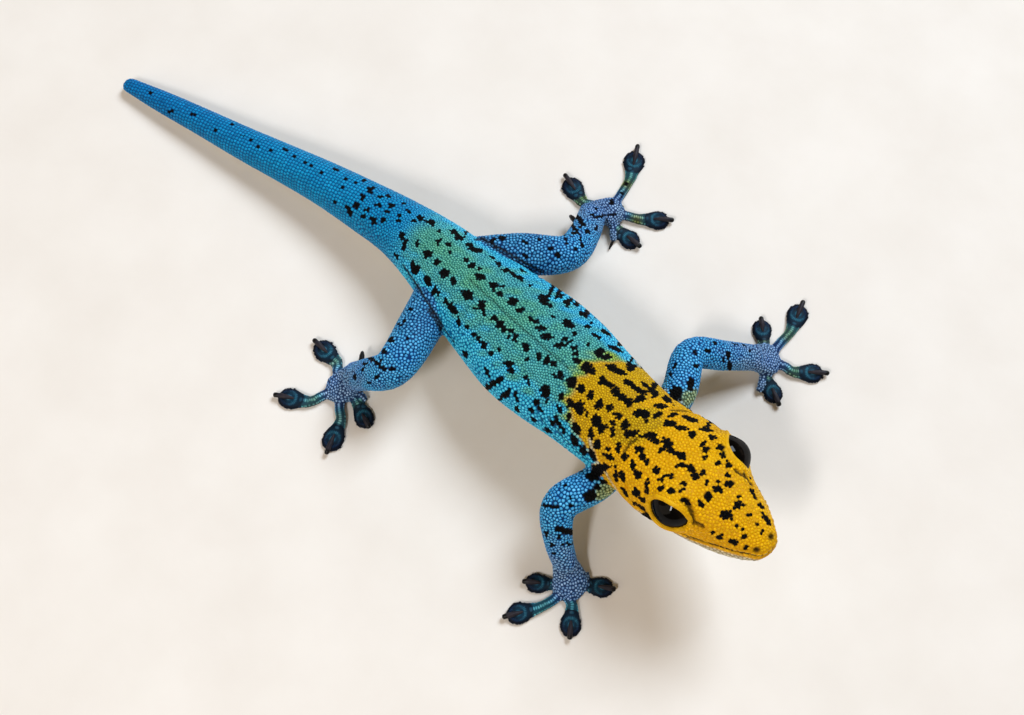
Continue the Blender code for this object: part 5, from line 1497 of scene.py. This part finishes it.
def hide_look(name, gloss, grain):
    """Finish of the skin and of its scales"""
    board = Board(name)
    fine, patchy = board.noise(0.5, 3.0), board.span(board.noise(1.9), 0.36, 0.64)
    tone, edge = board.share("tone"), board.share("edge")
    # The third colour of each zone is a painted highlight for the crowns of the scales; the fourth is for the
    # gaps and the scales' low sides, partly darker skin and partly painted shade
    first, second, top, gap_shade = FLANK
    middle = board.mix(patchy, first, second)
    for key, *colours in ZONES:
        share = board.share(key)
        first, second, zone_highlight, zone_gap_shade = colours
        middle = board.mix(share, middle, board.mix(patchy, first, second))
        top = board.mix(share, top, zone_highlight)
        gap_shade = board.mix(share, gap_shade, zone_gap_shade)
    # Painted highlight: the crowns are painted in the paler colour, more on some scales than on others
    crown = board.span(edge, 0.05, 0.45, 1.0, 0.0)
    crown_highlight = board.maths("MULTIPLY", crown, board.span(tone, -1.0, 1.0, 0.25, 1.0))
    colour = board.mix(crown_highlight, middle, top)
    shade = board.tree.nodes.new("ShaderNodeVectorMath")
    shade.operation = "SCALE"
    board.plug(shade.inputs[0], colour)
    board.plug(shade.inputs["Scale"], board.span(tone, -1.0, 1.0, 0.80, 1.16))
    # Painted shade and darker skin: the low sides of the scales and the skin between them take the gap colour
    colour = board.mix(board.span(edge, 0.42, 0.95), shade.outputs[0], gap_shade)
    # Painted shade of the mouth, the folds and the nostrils
    colour = board.mix(board.share("groove"), colour, CREASE_SHADE)
    colour = board.mix(board.share("dark"), colour, INK)
    rough = board.span(fine, 0.3, 0.7, gloss - 0.08, gloss + 0.1)
    rough = board.maths("ADD", rough, board.span(board.share("dark"), 0.0, 1.0, 0.0, 0.3))
    board.finish(colour, rough, HIDE_GLINT)
    board.bump(board.noise(0.09, 3.0), grain)
    return board.material


def eye_look():
    """Near-black eye with a faint brown ring, wet and clear"""
    board = Board("dark_eye")
    ring = board.share("iris")
    streaks = board.span(board.noise(0.25, 4.0), 0.4, 0.7)
    brown = board.mix(streaks, (8, 6, 6), (26, 20, 16))
    board.finish(board.mix(ring, (2, 2, 3), brown), board.span(board.noise(0.4), 0.3, 0.7, 0.03, 0.06), 0.0)
    board.shader.inputs["Coat Weight"].default_value = 0.24
    board.shader.inputs["Coat Roughness"].default_value = 0.03
    return board.material


def rim_look():
    """Smooth yellow rim of the lids"""
    board = Board("lid_rim")
    gold = board.mix(board.span(board.noise(0.6), 0.35, 0.65), (232, 180, 14), (212, 156, 4))
    gold = board.mix(board.span(board.noise(0.16, 3.0), 0.55, 0.75, 0.0, 0.3), gold, (148, 104, 4))
    board.finish(gold, board.span(board.noise(0.3), 0.3, 0.7, 0.4, 0.6), HIDE_GLINT)
    board.bump(board.noise(0.14, 3.0), 0.03)
    return board.material


def horn_look(name, colour, lighter, gloss):
    """Horn of claws, and the skin of their sheaths"""
    board = Board(name)
    mixed = board.mix(board.span(board.noise(0.3, 3.0), 0.35, 0.7), colour, lighter)
    board.finish(mixed, board.span(board.noise(0.2), 0.3, 0.7, gloss, gloss + 0.15), 0.25)
    board.bump(board.noise(0.1, 3.0), 0.02)
    return board.material


def floor_look():
    """Plain pale floor"""
    board = Board("pale_floor")
    mixed = board.mix(board.span(board.noise(9.0, 4.0), 0.3, 0.7), (241, 234, 226), (235, 227, 218))
    board.finish(mixed, board.span(board.noise(2.0), 0.3, 0.7, 0.75, 0.9), 0.5)
    board.bump(board.noise(1.2, 4.0), 0.05, 0.3)
    return board.material


# Rods and rims that follow a path

def path_tree(look):
    """Node tree that sweeps a round profile along a path"""
    tree = bpy.data.node_groups.new("swept_path", "GeometryNodeTree")
    face = tree.interface
    face.new_socket("Geometry", in_out="INPUT", socket_type="NodeSocketGeometry")
    face.new_socket("Thickness", in_out="INPUT", socket_type="NodeSocketFloat")
    face.new_socket("Sides", in_out="INPUT", socket_type="NodeSocketInt")
    face.new_socket("Geometry", in_out="OUTPUT", socket_type="NodeSocketGeometry")
    start, end = tree.nodes.new("NodeGroupInput"), tree.nodes.new("NodeGroupOutput")
    profile = tree.nodes.new("GeometryNodeCurvePrimitiveCircle")
    sweep = tree.nodes.new("GeometryNodeCurveToMesh")
    sweep.inputs["Fill Caps"].default_value = True
    radius = tree.nodes.new("GeometryNodeInputRadius")
    smooth = tree.nodes.new("GeometryNodeSetShadeSmooth")
    real = tree.nodes.new("GeometryNodeRealizeInstances")
    finish = tree.nodes.new("GeometryNodeSetMaterial")
    finish.inputs["Material"].default_value = look
    links = (
        (start.outputs["Geometry"], sweep.inputs["Curve"]),
        (start.outputs["Thickness"], profile.inputs["Radius"]),
        (start.outputs["Sides"], profile.inputs["Resolution"]),
        (profile.outputs["Curve"], sweep.inputs["Profile Curve"]),
        (radius.outputs["Radius"], sweep.inputs["Scale"]),
        (sweep.outputs["Mesh"], smooth.inputs["Geometry"]),
        (smooth.outputs["Geometry"], real.inputs["Geometry"]),
        (real.outputs["Geometry"], finish.inputs["Geometry"]),
        (finish.outputs["Geometry"], end.inputs["Geometry"]),
    )
    for source, target in links:
        tree.links.new(source, target)
    return tree


def swept(name, paths, look, sides=10):
    """Plain mesh of round rods along paths; each path is (points, radii, closed), in millimetres"""
    line = bpy.data.curves.new(name, "CURVE")
    line.dimensions = "3D"
    for points, radii, closed in paths:
        spline = line.splines.new("POLY")
        spline.points.add(len(points) - 1)
        for knot, point, radius in zip(spline.points, points, radii):
            knot.co = (*(np.asarray(point, float) * MM), 1.0)
            knot.radius = radius
        spline.use_cyclic_u = closed
    source = put_in_scene(name + "_path", line)
    change = source.modifiers.new("sweep", "NODES")
    change.node_group = path_tree(look)
    values = {"Thickness": MM, "Sides": sides}
    for socket in change.node_group.interface.items_tree:
        if socket.in_out == "INPUT" and socket.name in values:
            change[socket.identifier] = values[socket.name]
    mesh = evaluated_mesh(source)
    shape = bmesh.new()
    shape.from_mesh(mesh)
    bmesh.ops.remove_doubles(shape, verts=shape.verts[:], dist=1e-7)
    bmesh.ops.recalc_face_normals(shape, faces=shape.faces[:])
    shape.to_mesh(mesh)
    shape.free()
    mesh.name = name
    return put_in_scene(name, mesh)


def opening_line(side, reach, swell, count=64):
    """Almond line round an eye's opening at a reach from the middle of the eyeball"""
    turn = (np.arange(count) + 0.5) * 2 * np.pi / count
    along = np.radians(OPENING_LENGTH + swell) * np.cos(turn)
    arch = np.where(np.sin(turn) > 0, UPPER_ARCH[side], LOWER_ARCH) + swell
    up = np.radians(arch) * np.sign(np.sin(turn)) * (1 - np.abs(np.cos(turn)) ** ARCH_SQUARENESS) ** ARCH_FALL
    off = np.hypot(along, up)
    sway = np.sin(off) / np.maximum(off, 1e-9)
    local = np.column_stack((along * sway, np.cos(off), up * sway))
    return head_to_world(eye_centre(side) + reach * local @ eye_axes(side).T)


def ball():
    """Corners of a ball of radius one, ring by ring from its top and then its two poles, and its faces"""
    fall, turn = np.meshgrid(np.arange(1, BALL_RINGS) * np.pi / BALL_RINGS,
                             np.arange(BALL_SIDES) * 2 * np.pi / BALL_SIDES, indexing="ij")
    rings = np.dstack((np.sin(fall) * np.cos(turn), np.sin(fall) * np.sin(turn), np.cos(fall)))
    corners = np.vstack((rings.reshape(-1, 3), (0, 0, 1), (0, 0, -1)))
    top, bottom, lowest = len(corners) - 2, len(corners) - 1, BALL_SIDES * (BALL_RINGS - 2)
    faces = []
    for k in range(BALL_SIDES):
        after = (k + 1) % BALL_SIDES
        faces.append((top, k, after))
        for ring in range(0, lowest, BALL_SIDES):
            below = ring + BALL_SIDES
            faces.append((ring + k, below + k, below + after, ring + after))
        faces.append((bottom, lowest + after, lowest + k))
    return corners, faces


def build_eye(side, label, look):
    """Eyeball with a slightly swollen cornea"""
    directions, faces = ball()
    off = np.degrees(np.arccos(np.clip(directions @ eye_axes(side)[:, 1], -1, 1)))
    dome = CORNEA_SHIFT * np.cos(np.radians(off)) + np.sqrt(
        CORNEA_RADIUS**2 - (CORNEA_SHIFT * np.sin(np.radians(off))) ** 2)
    reach = np.where(off < 90, (dome + EYE_RADIUS + np.hypot(dome - EYE_RADIUS, 0.05)) / 2, EYE_RADIUS)
    places = head_to_world(eye_centre(side) + directions * reach[:, None])
    iris = smooth_step(30, 40, off) * (1 - smooth_step(50, 58, off))
    return solid_mesh("eyeball_" + label, places, faces, {"iris": iris}, look)


def claw_paths(name, limbs):
    """Lines of the claws and of their sheaths on one foot"""
    claws, sheaths = [], []
    for limb in limbs:
        if limb.kind == "toe" and limb.name.startswith(name):
            run = limb.tip - limb.pad
            for table, paths in ((CLAW_LINE, claws), (SHEATH_LINE, sheaths)):
                points = [limb.pad + run * share + np.array((0, 0, height)) for share, height, _ in table]
                paths.append((points, [radius for *_, radius in table], False))
    if FEET[name]["thorn"]:
        start = np.array((*FEET[name]["nub"][1], NUB_HEIGHTS[1]))
        end = np.array((*FEET[name]["thorn"], 0.2))
        claws.append(([start, start * 0.4 + end * 0.6, end], THORN_RADII, False))
    if FEET[name]["spur"]:
        start, end = (np.array(point) for point in FEET[name]["spur"])
        claws.append(([start * (1 - share) + end * share for share in SPUR_SHARES], SPUR_RADII, False))
    return claws, sheaths


# Building the animal

# Slot, name and gloss of each coat's look
COAT_LOOKS = (
    ("skin_yellow", "head_scales", 0.42),
    ("skin_teal", "body_scales", 0.40),
    ("skin_tail", "tail_scales", 0.38),
    ("skin_leg", "leg_scales", 0.40),
    ("skin_toe", "toe_scales", 0.36),
)


def hand_over(piece, slot, *nodes):
    """Says what a finished piece rides on and the nodes whose place it takes; its slot is not used"""
    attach(piece, "root")
    if nodes:
        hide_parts(*nodes)


def build_hide(limbs):
    """Surface of the skin with its finer shapes, and the pattern on it"""
    places, faces, edges = melt(limbs)
    places = open_eyes(relax_surface(places, edges))
    places = shape_lips(places, corner_normals(places, faces))
    hide, lines = press_folds(Hide(places, faces))
    return hide, Pattern(hide, limbs, lines)


def build_skin(hide, limbs, pattern):
    """The skin itself, plain between the scales"""
    shares = pattern.paint(hide.places, Lie(hide.places, limbs))
    shares["dark"] = pattern.blackened(hide.places)
    shares["tone"] = np.full(len(hide.places), -0.4)
    # The skin between the scales takes mostly the gap colour, darker skin and painted shade; on the lids some
    # of the crowns' painted highlight
    shares["edge"] = np.full(len(hide.places), 0.9)
    for side in (1, -1):
        share, reach = eye_share(hide.places, side)
        shares["edge"] = np.where((share < 1.7) & (reach < LID_ZONE), 0.2, shares["edge"])
    skin = solid_mesh("skin", hide.places, hide.faces.tolist(), shares, hide_look("skin_hide", 0.55, 0.03))
    hand_over(skin, "skin_teal", *[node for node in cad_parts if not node.startswith("eye_")])


def bare_places_left_out(roots, normals):
    """Roots without those on the lids' rims and on the soles"""
    clear = np.ones(len(roots), bool)
    for side in (1, -1):
        share, reach = eye_share(roots, side)
        clear &= ~((share < BARE_LID[side]) & (reach < LID_ZONE))
    clear &= ~((roots[:, 2] < 0.1) & (normals[:, 2] < -0.5))
    return roots[clear], normals[clear]


def size_scales(roots, normals, lie, on_head, draw):
    """Furthest reach of each scale, its height and the width of its shoulder"""
    height, table = np.array([SCALE_SIZES[kind] for kind in lie.kind]).T
    height[on_head], table[on_head] = HEAD_SCALE
    height[(lie.kind == "spine") & (lie.along < TAIL_END)] = TAIL_SCALE_HEIGHT
    height *= draw.uniform(0.85, 1.15, len(roots))
    cap = 0.68 * scale_pitch(roots, lie)
    toe = lie.kind == "toe"
    cap[toe] = np.where(normals[toe, 2] > 0.8, PAD_CAP, EDGE_CAP)
    return cap, height, table


def build_coat(hide, limbs, pattern):
    """All scales, in pieces by the part of the animal"""
    roots, normals = bare_places_left_out(*plant_roots(hide, limbs))
    lie = Lie(roots, limbs)
    spine = lie.kind == "spine"
    on_head = spine & (world_to_head(roots)[:, 0] > HEAD_BACK)
    draw = np.random.default_rng(8)
    cap, height, table = size_scales(roots, normals, lie, on_head, draw)
    tilt = np.where(spine & (lie.along < pattern.patch_start - 4), TAIL_TILT, SCALE_TILT)
    shapes = scale_shapes(roots, normals, lie, cap, height, tilt, table)
    shapes[:, :, 2] = np.maximum(shapes[:, :, 2], 0.0)
    shares = pattern.paint(shapes.reshape(-1, 3), lie.spread(shapes, roots))
    shares = {key: values.reshape(len(roots), -1) for key, values in shares.items()}
    shares["dark"] = pattern.blackened(roots)
    shares["tone"] = np.clip(draw.normal(0, 0.45, len(roots)), -1, 1)

    looks = {slot: hide_look(name, gloss, 0.02) for slot, name, gloss in COAT_LOOKS}
    neck = spine & (lie.along > pattern.border_along.min() + 0.5) & ~on_head
    torso = spine & ~on_head & ~neck & (lie.along > pattern.patch_start - 1)
    left = np.cos(lie.round) > 0
    names = np.array([limb.name for limb in limbs])[lie.limb]
    groups = [
        ("head_scales", on_head, "skin_yellow"), ("neck_scales", neck, "skin_yellow"),
        ("torso_scales_left", torso & left, "skin_teal"), ("torso_scales_right", torso & ~left, "skin_teal"),
        ("tail_scales", spine & ~on_head & ~neck & ~torso, "skin_tail"),
    ]
    for name in LEGS:
        own = np.char.startswith(names, name)
        groups.append((name + "_leg_scales", own & (lie.kind == "leg"), "skin_leg"))
        groups.append((name + "_foot_scales", own & (lie.kind != "leg"), "skin_toe"))
    flat = unrolled(limbs, lie)
    for name, picked, slot in groups:
        hand_over(coat_piece(name, picked, shapes, shares, flat, looks[slot]), slot)


def build_eyes():
    """Eyeballs and the smooth rims of their lids"""
    eye, rim = eye_look(), rim_look()
    for side, label in ((1, "left"), (-1, "right")):
        hand_over(build_eye(side, label, eye), "eye_dark", "eye_" + label)
        line = opening_line(side, RIM_REACH, RIM_SWELL)
        path = (line, np.full(len(line), RIM_RADIUS), True)
        hand_over(swept("lid_rim_" + label, [path], rim), "skin_yellow")


def build_claws(limbs):
    """Claws and their sheaths, foot by foot"""
    claw, sheath = horn_look("claw_horn", *HORN, 0.30), horn_look("sheath_skin", *SHEATH, 0.50)
    for name in LEGS:
        claws, sheaths = claw_paths(name, limbs)
        hand_over(swept(name + "_claws", claws, claw), "skin_toe")
        hand_over(swept(name + "_sheaths", sheaths, sheath), "skin_toe")


def build_gecko():
    """The whole animal"""
    limbs = shape_limbs()
    hide, pattern = build_hide(limbs)
    build_skin(hide, limbs, pattern)
    build_coat(hide, limbs, pattern)
    build_eyes()
    build_claws(limbs)


# Floor, light and camera

def build_floor():
    """Pale floor that fills the view"""
    mesh = bpy.data.meshes.new("floor")
    shape = bmesh.new()
    bmesh.ops.create_grid(shape, x_segments=8, y_segments=8, size=0.6)
    shape.to_mesh(mesh)
    shape.free()
    mesh.materials.append(floor_look())
    put_in_scene("floor", mesh)


def look_at(item, place, target, top):
    """Stands a lamp or the camera at a place, turned to a target with its top the given way"""
    back = unit(np.asarray(place, float) - np.asarray(target, float))
    right = unit(np.cross(top, back))
    table = Matrix(np.column_stack((right, np.cross(back, right), back)).tolist()).to_4x4()
    table.translation = Vector(np.asarray(place, float) * MM)
    item.matrix_world = table


LIT_SPOT = (5.0, -2.0, 0.0)


def build_lamp(name, place, size, power, colour):
    """Soft lamp aimed at the animal; place, width and height in millimetres"""
    data = bpy.data.lights.new(name, "AREA")
    data.shape = "RECTANGLE"
    data.size, data.size_y = size[0] * MM, size[1] * MM
    data.energy = power
    data.color = colour
    look_at(put_in_scene(name, data), place, LIT_SPOT, UP)


def build_light():
    """Large soft lamp from the picture's upper right, a narrow one by the camera for the glint in the eye,
    a weak wide one from the lower left and warm pale light all round"""
    level_up = unit(UP * (1, 1, 0))
    key = CAMERA_TARGET + RIGHT * 240 + level_up * 290 + np.array((0, 0, 420))
    build_lamp("key_lamp", key, (240, 240), 3.14, (0.76, 0.875, 1.0))
    glint = CAMERA_TARGET - FORWARD * 330 - RIGHT * 130 - UP * 95
    build_lamp("glint_lamp", glint, (40, 90), 0.5, (0.97, 0.98, 1.0))
    fill = CAMERA_TARGET - RIGHT * 330 - level_up * 220 + np.array((0, 0, 150))
    build_lamp("fill_lamp", fill, (500, 250), 0.45, (1.0, 0.86, 0.68))
    world = bpy.data.worlds.new("studio")
    world.use_nodes = True
    around = world.node_tree.nodes["Background"]
    around.inputs["Color"].default_value = (1.0, 0.74, 0.44, 1.0)
    around.inputs["Strength"].default_value = 0.21
    bpy.context.scene.world = world


def build_camera():
    """Camera at the photo's angle over the floor"""
    data = bpy.data.cameras.new("camera")
    data.lens, data.sensor_width, data.sensor_fit = LENS, SENSOR, "HORIZONTAL"
    data.clip_start, data.clip_end = 0.005, 5.0
    item = put_in_scene("camera", data)
    look_at(item, CAMERA_PLACE, CAMERA_TARGET, UP)
    bpy.context.scene.camera = item


bpy.context.scene.view_settings.view_transform = "Standard"
build_camera()
build_floor()
build_light()
build_gecko()
bpy.context.view_layer.update()
